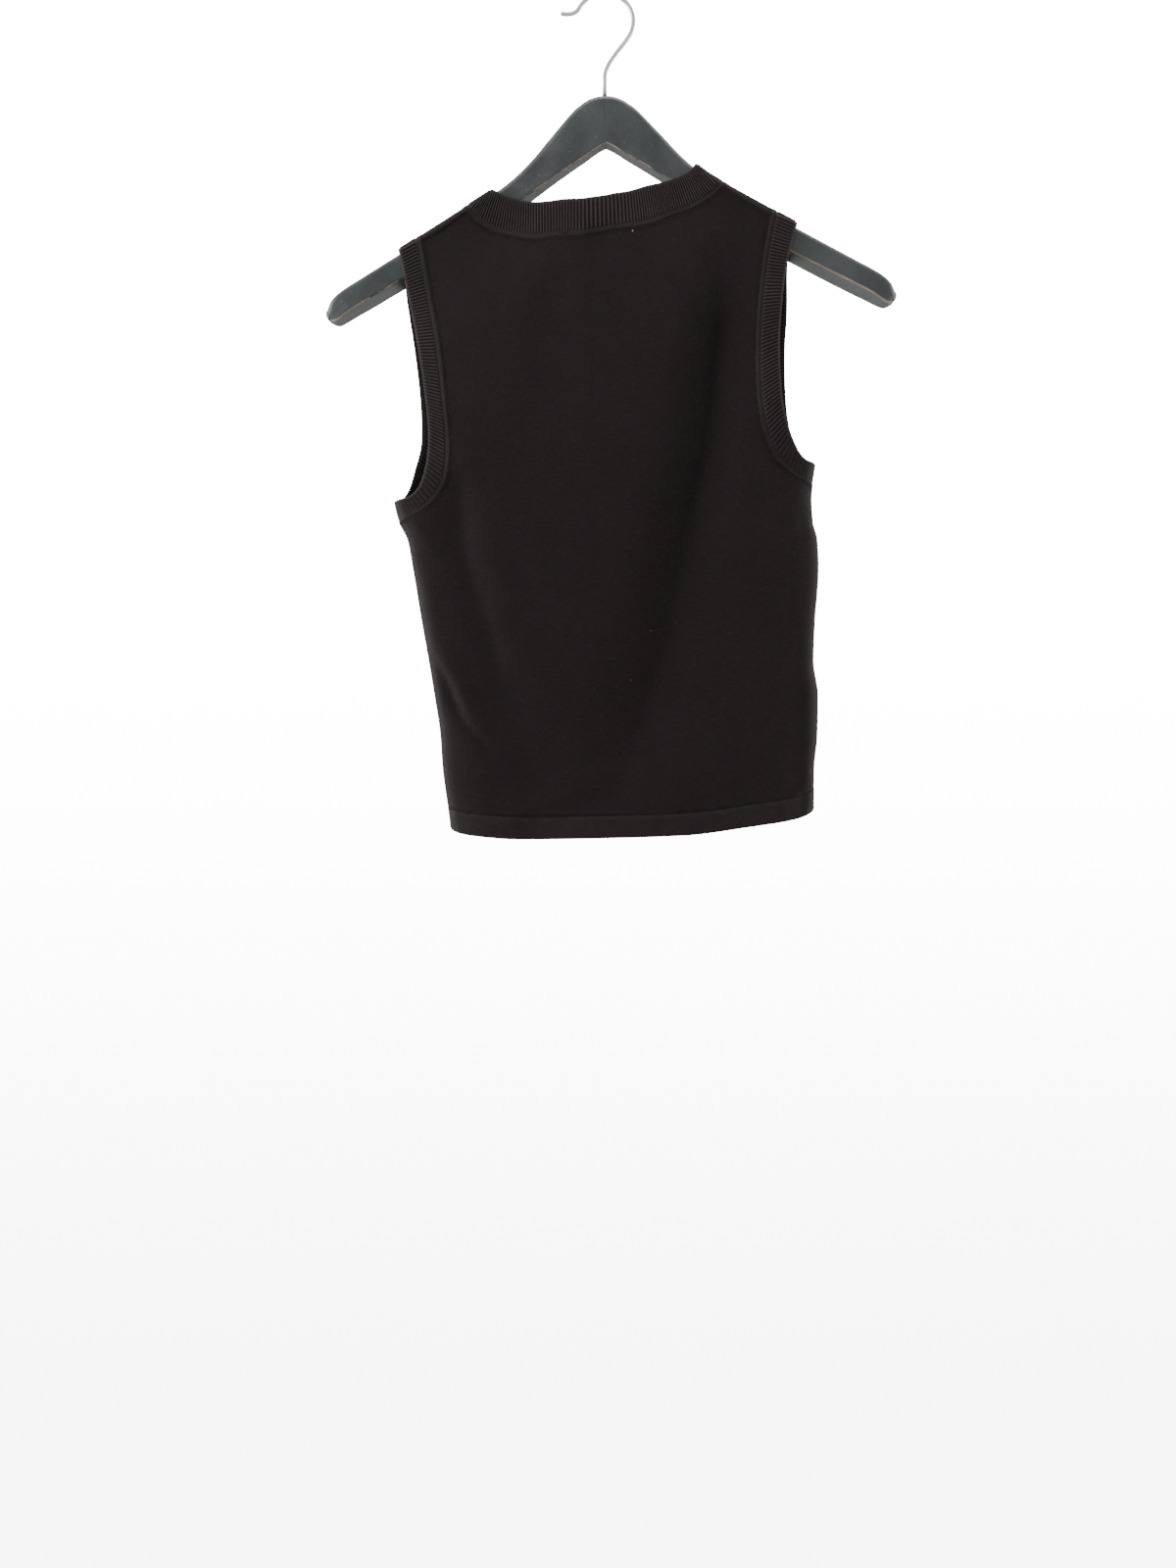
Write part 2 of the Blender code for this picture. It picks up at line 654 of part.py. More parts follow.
def net_points(face, outline):
    """The points inside a panel's outline where its net is knotted."""
    points = []
    sign = 1 if face == "back" else -1
    chest = side_right.at(CHEST) - side_left.at(CHEST)
    spans = round((chest - 2 * SIDE_STEPS[-1]) / NET)
    for run, step in net_rows(face):
        level = ease((abs(run) - LEVEL_FROM) / LEVEL_OVER)
        middle = ridge.at(0) - turned_in(abs(run), RIDGE_ROUND) - LEVEL_DROP * level
        left = side_across(middle, -1)
        right = side_across(middle, 1)
        first, last = left + SIDE_STEPS[-1], right - SIDE_STEPS[-1]
        places = [(left + offset, SIDE_NET) for offset in SIDE_STEPS[:-1]]
        places += [(first + (last - first) * k / spans, NET) for k in range(spans + 1)]
        places += [(right - offset, SIDE_NET) for offset in SIDE_STEPS[:-1]]
        for across, wide in places:
            point = (across, run + sign * (levelled(across, sign * run)))
            if inside(outline, point) and edge_distance(outline, point, (wide, step)) > EDGE_CLEAR:
                points.append(point)
    return points


def panel(face):
    """One body panel: a net in the flat cut, triangulated, then hung."""
    sign = 1 if face == "back" else -1
    outline = cut_outline(face)
    knots = outline + net_points(face, outline)
    flat = [Vector((x, -sign * run + levelled(x, sign * run))) for x, run in knots]
    edges = [(k, (k + 1) % len(outline)) for k in range(len(outline))]
    found, edges, faces, origins, *rest = delaunay_2d_cdt(flat, edges, [], 1, 0.01)
    verts = [on_cloth(*knots[origin[0]]) for origin in origins]
    if face == "front":
        faces = [corners[::-1] for corners in faces]
    thing = new_object(face, verts, faces, KNIT)
    thicken(thing, CLOTH)
    return thing


def hem(face):
    shares = hem_shares()
    rises = (HEM_TALL - GAP / 2, HEM_TALL * 0.5, 0.0)
    verts = []
    for rise in rises:
        for place in hem_row(face, rise, shares):
            verts.append(on_cloth(*place))
    faces = grid_faces(len(rises), len(shares), face == "back")
    thing = new_object("hem_" + face, verts, faces, KNIT)
    thicken(thing, HEM_WALL)
    return thing


def ring_normals(inner, outer):
    """Outward directions round a band from its seam and its free edge."""
    count = len(inner)
    normals = []
    for k in range(count):
        along = inner[(k + 1) % count] + outer[(k + 1) % count] - inner[k - 1] - outer[k - 1]
        normals.append(along.cross(outer[k] - inner[k]).normalized())
    return normals


def ribbed_band(name, seam, edge, turned):
    """A band of raised ribs over a plain inside, closed round a loop."""
    seam_points = []
    edge_points = []
    for seam_half, edge_half in zip(seam, edge):
        middle = (lengths(seam_half)[-1] + lengths(edge_half)[-1]) / 2
        sides = RIB_SHARE * round(middle / RIB_PITCH * 2 / RIB_SHARE)
        shares = [k / sides for k in range(sides)]
        seam_points += [on_cloth(*p) for p in resample(seam_half, shares)]
        edge_points += [on_cloth(*p) for p in resample(edge_half, shares)]
    count = len(seam_points)
    normals = ring_normals(seam_points, edge_points)
    if turned:
        normals = [-n for n in normals]
    step = RIB_SHARE
    rings = dict(seam_out=[], strip=[], edge_out=[], edge_in=[], seam_in=[])
    verts = []

    def add(ring, point):
        rings[ring].append(len(verts))
        verts.append(point)

    half = BAND / 2 * MM
    for k in range(count):
        s, e, n = seam_points[k], edge_points[k], normals[k]
        width = (e - s).length
        rise = half + (RIB_RISE * MM if k % 2 else 0.0)
        add("strip", s.lerp(e, STRIP * MM / width) + n * rise)
        add("edge_out", e + n * rise)
        if k % step == 0:
            add("seam_out", s + n * (half + RIB_RISE * MM * 0.5))
            add("seam_in", s - n * half)
            add("edge_in", e - n * half)
    faces = []
    coarse = count // step
    for c in range(coarse):
        d = (c + 1) % coarse
        faces.append((rings["seam_in"][c], rings["seam_in"][d],
                      rings["seam_out"][d], rings["seam_out"][c]))
        faces.append((rings["edge_in"][c], rings["edge_in"][d],
                      rings["seam_in"][d], rings["seam_in"][c]))
        fans = (("seam_out", "strip", False), ("edge_in", "edge_out", True))
        for coarse_ring, fine_ring, reverse in fans:
            a, b = rings[coarse_ring][c], rings[coarse_ring][d]
            fine = [rings[fine_ring][(c * step + f) % count] for f in range(step + 1)]
            half_way = step // 2
            fan = [(a, fine[f + 1], fine[f]) for f in range(half_way)]
            fan.append((a, b, fine[half_way]))
            fan += [(b, fine[f + 1], fine[f]) for f in range(half_way, step)]
            faces += [face[::-1] for face in fan] if reverse else fan
    for k in range(count):
        m = (k + 1) % count
        faces.append((rings["strip"][k], rings["strip"][m],
                      rings["edge_out"][m], rings["edge_out"][k]))
    if turned:
        faces = [face[::-1] for face in faces]
    return new_object(name, verts, faces, KNIT)


def hanger_section(row):
    """Points round half a section, from the top down the -Y side and back."""
    x0, z0, x1, z1 = row["top_x"], row["top_z"], row["under_x"], row["under_z"]
    tall = math.hypot(x1 - x0, z1 - z0)
    outline = []
    for angle in (0, 30, 60, 90):
        turn = math.radians(angle)
        outline.append((row["half"] * math.sin(turn), TOP_ROUND * (1 - math.cos(turn)) / tall))
    outline.append((row["half"], 1 - ARRIS / tall))
    outline.append((row["half"] - ARRIS, 1.0))
    left = [(-y, share) for y, share in outline]
    right = [(y, share) for y, share in outline[:0:-1]]
    points = []
    for y, share in left + right:
        points.append(Vector((x0 + (x1 - x0) * share, y, z0 + (z1 - z0) * share)) * MM)
    return points


def hanger():
    """The right half as a loft along the arm, mirrored, and rolled."""
    verts = []
    faces = []
    for row in HANGER:
        verts += hanger_section(row)
    around = len(verts) // len(HANGER)
    for k in range(len(HANGER) - 1):
        for i in range(around):
            a = k * around + i
            b = k * around + (i + 1) % around
            faces.append((a, b, b + around, a + around))
    last = (len(HANGER) - 1) * around
    faces.append(tuple(range(last, last + around)))
    thing = new_object("hanger_wood", verts, faces, PAINT, 0.45)
    mirror = thing.modifiers.new("Both arms", "MIRROR")
    mirror.merge_threshold = 0.0001
    mirror.use_mirror_merge = True
    thing.rotation_euler = (0, -HANGER_ROLL, 0)
    thing.location = (0, 0, HANGER_PIVOT * MM)
    return thing


def bezier(a, b, c, d, count):
    points = []
    for k in range(count):
        t = k / count
        near = a * (1 - t) ** 3 + b * 3 * t * (1 - t) ** 2
        points.append(near + c * 3 * t * t * (1 - t) + d * t ** 3)
    return points


def hook_path():
    """Stem, bend, round the rail, and the tip flicked out."""
    centre = Vector((0, 0, HOOK_WIRE - HOOK_RADIUS))
    enter, leave = math.radians(-35), math.radians(150)

    def around(angle):
        return centre + Vector((math.cos(angle), 0, math.sin(angle))) * HOOK_RADIUS

    def heading(angle):
        return Vector((-math.sin(angle), 0, math.cos(angle)))

    foot = Vector((0, 0, HANGER_PIVOT + HANGER[0]["top_z"] + FOOT_GAP))
    bend = Vector((0, 0, -65))
    up = Vector((0, 0, 1))
    tip = Vector((-33, 0, -14.5))
    points = [foot]
    before = around(enter) - heading(enter) * 12
    points += bezier(bend, bend + up * 11, before, around(enter), 7)
    steps = 16
    points += [around(enter + (leave - enter) * k / steps) for k in range(steps)]
    after = around(leave) + heading(leave) * 6
    points += bezier(around(leave), after, tip + Vector((6, 0, -1)), tip, 4)
    points.append(tip)
    return points


def hook():
    """Steel wire hook."""
    data = bpy.data.curves.new("hook", "CURVE")
    data.dimensions = "3D"
    data.bevel_depth = HOOK_WIRE * MM
    data.bevel_resolution = 2
    data.use_fill_caps = True
    points = hook_path()
    wire = data.splines.new("POLY")
    wire.points.add(len(points) - 1)
    for node, point in zip(wire.points, points):
        node.co = (*(point * MM), 1)
    finish(data, "hook", STEEL, 0.3, 1.0)
    thing = bpy.data.objects.new("hook", data)
    parts.objects.link(thing)
    return thing


panel("back")
panel("front")
hem("back")
hem("front")
neck_edge = (smooth_path(face_points(NECK_EDGE_BACK, "back")),
             smooth_path(face_points(NECK_EDGE_FRONT, "front")[::-1]))
ribbed_band("neckband", neck_halves(), neck_edge, False)
ribbed_band("armband_left", arm_halves(-1), edge_halves(ARM_EDGE_LEFT, -1), False)
ribbed_band("armband_right", arm_halves(1), edge_halves(ARM_EDGE_RIGHT, 1), True)
hanger()
hook()
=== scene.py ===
import math

import bpy
import numpy as np
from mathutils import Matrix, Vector
from mathutils.geometry import delaunay_2d_cdt


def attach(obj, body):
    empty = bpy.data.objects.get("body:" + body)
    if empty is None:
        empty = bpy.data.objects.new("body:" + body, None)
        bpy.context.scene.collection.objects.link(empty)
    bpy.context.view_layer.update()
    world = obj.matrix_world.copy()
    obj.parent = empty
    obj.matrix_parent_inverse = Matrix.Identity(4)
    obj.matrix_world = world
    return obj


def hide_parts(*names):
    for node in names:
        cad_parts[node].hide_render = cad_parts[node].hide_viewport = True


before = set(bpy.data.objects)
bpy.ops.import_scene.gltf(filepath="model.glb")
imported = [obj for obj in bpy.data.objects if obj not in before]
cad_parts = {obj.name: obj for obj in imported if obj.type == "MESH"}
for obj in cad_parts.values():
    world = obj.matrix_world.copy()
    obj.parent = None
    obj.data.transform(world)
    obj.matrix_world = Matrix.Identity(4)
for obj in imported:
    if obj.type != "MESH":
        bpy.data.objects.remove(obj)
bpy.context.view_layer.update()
MM = 0.001


# ---- Wooden hanger -------------------------------------------------------
# One arched piece of beech, sawn thick at the shoulders and thin at the neck,
# with its top rounded over.  It is painted black, and the paint has worn
# through to bare wood along the lower arrises and at the ends.
ROLL = math.radians(1.9)
PIVOT = -90.3
TOP_ROUND = 5.5
ARRIS = 1.4


def table(names, rows):
    """Rows of measures under their names; None is for what the cloth gives."""
    return [dict(zip(names.split(), row)) for row in rows]


HANGER = table("top_x top_z under_x under_z half", [
    (0, 11, 0, -27.5, 7.0), (5, 10.7, 2.5, -28.6, 7.0), (12, 8.6, 6, -30.5, 7.0),
    (19.5, 4.0, 10.5, -33.3, 7.1), (27, -2.5, 15, -36.5, 7.3), (44, -21.5, 27, -44, 7.8),
    (60, -39.5, 43, -54.5, 8.4), (78, -55.5, 64, -69, 9.3), (100, -69.5, 89, -87.5, 10.3),
    (145, -97, 134.5, -115, 12.0), (190, -123.5, 180.5, -140.5, 13.0), (208, -134, 199, -150.5, 12.6),
    (217, -141.5, 207, -155.5, 11.2), (220.6, -148.6, 211.4, -158.2, 9.4),
])


def rolled(x, z):
    """Where a point of the upright hanger lies on the hung one."""
    return (x * math.cos(ROLL) - z * math.sin(ROLL),
            x * math.sin(ROLL) + z * math.cos(ROLL) + PIVOT)


def spline(values, steps):
    """Catmull-Rom rows through rows of numbers."""
    values = np.asarray(values, float)
    rows = []
    for k in range(len(values) - 1):
        o = values[max(k - 1, 0)]
        p, q = values[k], values[k + 1]
        r = values[min(k + 2, len(values) - 1)]
        for t in np.arange(steps) / steps:
            square = 2 * o - 5 * p + 4 * q - r
            cube = 3 * p - o - 3 * q + r
            rows.append(p + 0.5 * ((q - o) * t + square * t * t + cube * t ** 3))
    rows.append(values[-1])
    return np.array(rows)


def hanger_section(half, tall):
    """Half depth and share of the height round a section, with its wear."""
    points = []
    for turn in np.radians(np.arange(0, 91, 9)):
        points.append((half * math.sin(turn), TOP_ROUND * (1 - math.cos(turn)) / tall, 0.15))
    points.append((half, 0.55, 0.0))
    points.append((half, 1 - 1.8 * ARRIS / tall, 0.1))
    for turn in np.radians(np.arange(0, 91, 22.5)):
        y = half - ARRIS + ARRIS * math.cos(turn)
        points.append((y, 1 - ARRIS * (1 - math.sin(turn)) / tall, 0.55 + 0.45 * math.sin(2 * turn)))
    points.append((half - 1.6 * ARRIS, 1.0, 0.1))
    points.append((half * 0.4, 1.0, 0.05))
    left = [(-y, share, wear) for y, share, wear in points]
    return left + points[:0:-1]


fine_rows = spline([list(row.values()) for row in HANGER], 5)
end = fine_rows[-1]
for shrink, out in ((0.93, 1.5), (0.8, 2.8), (0.58, 3.9), (0.28, 4.6)):
    closing = end.copy()
    middle = (end[:2] + end[2:4]) / 2
    push = np.array([out * 0.86, -out * 0.5])
    closing[:2] = middle + (end[:2] - middle) * shrink + push
    closing[2:4] = middle + (end[2:4] - middle) * shrink + push
    closing[4] = end[4] * shrink
    fine_rows = np.vstack([fine_rows, closing])
hanger_verts = []
hanger_wear = []
both = [(-1, row) for row in fine_rows[:0:-1]] + [(1, row) for row in fine_rows]
for place, (hand, row) in enumerate(both):
    x0, z0, x1, z1, half = row
    tall = math.hypot(x1 - x0, z1 - z0)
    end_wear = max(0.0, 1 - min(place, len(both) - 1 - place) / 9)
    for y, share, wear in hanger_section(half, tall):
        x, z = rolled(hand * (x0 + (x1 - x0) * share), z0 + (z1 - z0) * share)
        hanger_verts.append((x * MM, y * MM, z * MM))
        hanger_wear.append(min(1.0, wear + 0.3 * end_wear))


def tube_faces(rings, around):
    """The skin of a row of rings, closed at both ends."""
    faces = []
    for j in range(rings - 1):
        for i in range(around):
            a = j * around + i
            b = j * around + (i + 1) % around
            faces.append((a, b, b + around, a + around))
    faces.append(tuple(range(around - 1, -1, -1)))
    faces.append(tuple(range((rings - 1) * around, rings * around)))
    return faces


def in_scene(name, data):
    piece = bpy.data.objects.new(name, data)
    bpy.context.scene.collection.objects.link(piece)
    return piece


def new_piece(name, verts, faces, material):
    """A smooth mesh of one material, put in the scene."""
    mesh = bpy.data.meshes.new(name)
    mesh.from_pydata([tuple(v) for v in verts], [], [tuple(f) for f in faces])
    mesh.update()
    mesh.shade_smooth()
    mesh.materials.append(material)
    return in_scene(name, mesh)


def mark_points(mesh, name, values, kind="FLOAT"):
    """Stores one number or direction for each point of a mesh."""
    layer = mesh.attributes.new(name, kind, "POINT")
    layer.data.foreach_set("value" if kind == "FLOAT" else "vector", np.ravel(values))


def adder(tree):
    """A short way to add a node to a tree, set it and link its inputs."""
    def add(kind, inputs=(), **settings):
        node = tree.nodes.new(kind)
        for key, value in settings.items():
            setattr(node, key, value)
        for key, value in dict(inputs).items():
            if isinstance(value, bpy.types.NodeSocket):
                tree.links.new(value, node.inputs[key])
            else:
                node.inputs[key].default_value = value
        return node

    return add


def painter(name):
    """A new material, with its tree, its shader and a way to add nodes."""
    material = bpy.data.materials.new(name)
    material.use_nodes = True
    tree = material.node_tree
    return material, tree, tree.nodes["Principled BSDF"], adder(tree)


def math_node(add, operation, a, b=0.0, c=0.0):
    return add("ShaderNodeMath", {0: a, 1: b, 2: c}, operation=operation).outputs[0]


def mixed(add, share, a, b):
    """A colour between two."""
    node = add("ShaderNodeMix", {0: share, 6: a, 7: b}, data_type="RGBA")
    return node.outputs[2]


def noise(add, place, scale, detail, roughness=0.5):
    sizes = {"Vector": place, "Scale": scale, "Detail": detail, "Roughness": roughness}
    return add("ShaderNodeTexNoise", sizes).outputs[0]


def ramp(add, value, low, high, start, end, curve="LINEAR"):
    """A value carried from one span of numbers to another."""
    spans = {0: value, 1: low, 2: high, 3: start, 4: end}
    return add("ShaderNodeMapRange", spans, interpolation_type=curve).outputs[0]


def raised(tree, shader, add, height, strength, distance):
    """Gives the shader a bump from a height."""
    bump = add("ShaderNodeBump", {"Height": height, "Strength": strength, "Distance": distance})
    tree.links.new(bump.outputs[0], shader.inputs["Normal"])


paint, tree, shader, add = painter("Worn black paint on beech")
place = add("ShaderNodeTexCoord").outputs["Object"]
chips = noise(add, place, 95.0, 6.0, 0.68)
runs = noise(add, place, 16.0, 3.0, 0.6)
wear = add("ShaderNodeAttribute", attribute_name="wear").outputs["Fac"]
worn = math_node(add, "MULTIPLY_ADD", wear, 0.98, -0.56)
worn = math_node(add, "ADD", worn, chips)
worn = math_node(add, "MULTIPLY_ADD", runs, 0.55, worn)
bare = ramp(add, worn, 0.98, 1.06, 0.0, 1.0)
grain_place = add("ShaderNodeMapping", {"Vector": place, "Scale": (14.0, 90.0, 260.0)}).outputs[0]
grain = noise(add, grain_place, 1.0, 5.0, 0.6)
wood_colour = mixed(add, grain, (0.200, 0.145, 0.095, 1), (0.42, 0.33, 0.235, 1))
film = ramp(add, noise(add, place, 34.0, 4.0), 0.36, 0.64, 0.0, 1.0)
paint_colour = mixed(add, film, (0.0375, 0.0451, 0.0460, 1), (0.0665, 0.0761, 0.0770, 1))
specks = ramp(add, noise(add, place, 620.0, 2.0), 0.69, 0.74, 0.0, 0.7)
paint_colour = mixed(add, specks, paint_colour, (0.22, 0.22, 0.21, 1))
spot = add("ShaderNodeSeparateXYZ", {0: place}).outputs
beside_joint = math_node(add, "ABSOLUTE", math_node(add, "ADD", spot[0], 0.0004))
joint = ramp(add, beside_joint, 0.0003, 0.0010, 0.3, 0.0)
joint = math_node(add, "MULTIPLY", joint, ramp(add, spot[2], -0.112, -0.094, 0.0, 1.0))
paint_colour = mixed(add, joint, paint_colour, (0.012, 0.014, 0.014, 1))
tree.links.new(mixed(add, bare, paint_colour, wood_colour), shader.inputs["Base Color"])
gloss = math_node(add, "MULTIPLY_ADD", film, 0.16, 0.36)
rough = math_node(add, "MULTIPLY_ADD", bare, 0.3, gloss)
tree.links.new(rough, shader.inputs["Roughness"])
skin = math_node(add, "MULTIPLY_ADD", bare, -0.6, math_node(add, "MULTIPLY", grain, 0.35))
raised(tree, shader, add, skin, 0.35, 0.0004)

hanger_faces = tube_faces(len(both), len(hanger_verts) // len(both))
hanger = new_piece("hanger", hanger_verts, hanger_faces, paint)
mark_points(hanger.data, "wear", hanger_wear)
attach(hanger, "root")
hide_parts("hanger_wood")


# ---- Hook ----------------------------------------------------------------
# Drawn steel wire, bent over a rail and flicked out at its tip.  Its foot is
# screwed into the top of the hanger.
WIRE = 1.75
SIDES_OF_WIRE = 20
HOOK_RADIUS = 22.25


def bezier(a, b, c, d, count):
    t = (np.arange(count) / count)[:, None]
    near = a * (1 - t) ** 3 + b * 3 * t * (1 - t) ** 2
    return near + c * 3 * t * t * (1 - t) + d * t ** 3


def on_turn(angle):
    centre = np.array([0.0, WIRE - HOOK_RADIUS])
    return centre + np.array([math.cos(angle), math.sin(angle)]) * HOOK_RADIUS


def turn_heading(angle):
    return np.array([-math.sin(angle), math.cos(angle)])


enter, leave = math.radians(-35), math.radians(150)
tip = np.array([-33.0, -14.5])
bend = np.array([0.0, -65.0])
before = on_turn(enter) - turn_heading(enter) * 12
after = on_turn(leave) + turn_heading(leave) * 6
wire = [np.array([[0.0, -79.6]])]
wire.append(bezier(bend, bend + np.array([0, 11.0]), before, on_turn(enter), 18))
wire.append(np.array([on_turn(angle) for angle in np.linspace(enter, leave, 60)[:-1]]))
wire.append(bezier(on_turn(leave), after, tip + np.array([6, -1.0]), tip, 10))
wire.append(tip[None])
wire = np.vstack(wire)
headings = np.gradient(wire, axis=0)
headings /= np.linalg.norm(headings, axis=1)[:, None]
rings = [(0, 0.0, 0.55), (0, 0.0, 1.0)] + [(k, 0.0, 1.0) for k in range(1, len(wire))]
rings += [(len(wire) - 1, 0.9, 0.87), (len(wire) - 1, 1.45, 0.5)]
hook_verts = []
for k, ahead, shrink in rings:
    heading = headings[k]
    centre = wire[k] + heading * ahead
    side = np.array([-heading[1], heading[0]])
    for turn in np.arange(SIDES_OF_WIRE) * 2 * math.pi / SIDES_OF_WIRE:
        place = centre + side * WIRE * shrink * math.cos(turn)
        hook_verts.append((place[0] * MM, -WIRE * shrink * math.sin(turn) * MM, place[1] * MM))

steel, tree, shader, add = painter("Drawn steel wire")
place = add("ShaderNodeTexCoord").outputs["Object"]
drawn = noise(add, place, 900.0, 3.0)
stain = noise(add, place, 70.0, 3.0)
tree.links.new(mixed(add, stain, (0.60, 0.61, 0.62, 1), (0.78, 0.79, 0.80, 1)), shader.inputs["Base Color"])
tree.links.new(math_node(add, "MULTIPLY_ADD", drawn, 0.22, 0.2), shader.inputs["Roughness"])
shader.inputs["Metallic"].default_value = 1.0
raised(tree, shader, add, drawn, 0.12, 0.0002)

hook = new_piece("hook_wire", hook_verts, tube_faces(len(rings), SIDES_OF_WIRE), steel)
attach(hook, "root")
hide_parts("hook")


# ---- Body panels ---------------------------------------------------------
# Back and front are fine plain knit, shaped at the armholes and the neck.
# The front runs over the hanger to a seam a little down the back, so one map
# of the hung cloth gives both: across it, and down from the hanger's ridge.
CLOTH = 1.5
SHOULDER_SEAM = 9.0
RIDGE_ROUND = 7.5
RIDGE_COVER = 3.0
DEPTH_COVER = 2.3
SIDE_ROUND = 8.0
DEPTH_BLEND = 110.0
LEVEL_FROM = 40.0
LEVEL_OVER = 200.0
LEVEL_DROP = 60.0
HEM_TALL = 17.0
QUARTER = math.pi / 2
RIDGE_LAST = 9
FULLNESS = 0.95
SIDE_FALL = 7
SIDE_FALL_SHARE = 0.75
FOLDS_FROM_SIDE = 10
HELD_TO = 200.0
SEAM_STEPS = 8
OVER_SHOULDER = 12
SEAM_TUCK = 1.1
HEM_TUCK = 0.4
PANEL_RUN = 520
NEAR_SIDE = np.array([1.1, 2.3, 3.6, 5.0, 6.6, 8.4])
RIDGE_BEYOND = (262.0, -166.0)
SIDES = table("z left right", [
    (-660, -117.2, 160.2), (-635, -120.7, 161.7), (-603, -125.2, 162.2), (-575, -127.2, 164.7),
    (-545, -131.7, 165.2), (-518, -136.2, 161.7), (-490, -141.2, 162.7), (-445, -148.7, 165.7),
    (-424, -152.7, 164.7), (-411, -158.9, 161.4), (-394, -163.2, 160.2), (-380, -166.4, 160.9),
    (-365.5, -169.4, 163.2), (-300, -179.4, 178.4), (-200, -193.4, 193.4), (-100, -203.4, 203.4),
])
DEPTHS = table("z back front edge", [
    (-660, 27, 27, 7.5), (-560, 30, 28, 8), (-420, 29, 28, 8.5), (-300, 25, 24, 9), (-200, 19.5, 19, 9.5),
    (-130, 15, 15, 10),
])
HEM_LINE = table("x z", [
    (-135, -645), (-119, -650), (-104, -653.5), (-64, -656.5), (0, -655.5), (60, -653.5), (110, -647),
    (147, -641), (163, -635), (180, -630),
])
NECK_SEAM_BACK = table("x z", [
    (-110.6, None), (-101, -180.5), (-88, -189), (-73, -193.8), (-43, -195.8), (-13, -194), (21.5, -188.5),
    (56, -176.5), (86.4, -159.5), (96.9, None),
])
NECK_SEAM_FRONT = table("x z", [
    (-110.6, None), (-106, -196), (-93, -223), (-70, -247), (-38, -261), (-2, -264), (34, -256),
    (65, -235), (86, -205), (95, -172), (96.9, None),
])
ARM_SEAM = {-1: table("x z out", [
    (-142.7, None, 0), (-138.4, -208, 1), (-134.4, -230, 3), (-125.8, -276, 5), (-120.5, -322, 6),
    (-117.4, -357, 6), (-119.6, -380, 6), (-125.5, -392.5, 6), (-135, -402.5, 5), (-147, -409, 3),
    (None, -413, 0),
]), 1: table("x z out", [
    (129.7, None, 0), (125.5, -185, 1), (120.4, -214.7, 3), (116.4, -253, 6), (115.2, -290, 7),
    (116.5, -322, 7), (120.5, -345, 7), (128, -364.5, 6), (138, -375, 5), (149, -381, 3), (None, -385, 0),
])}
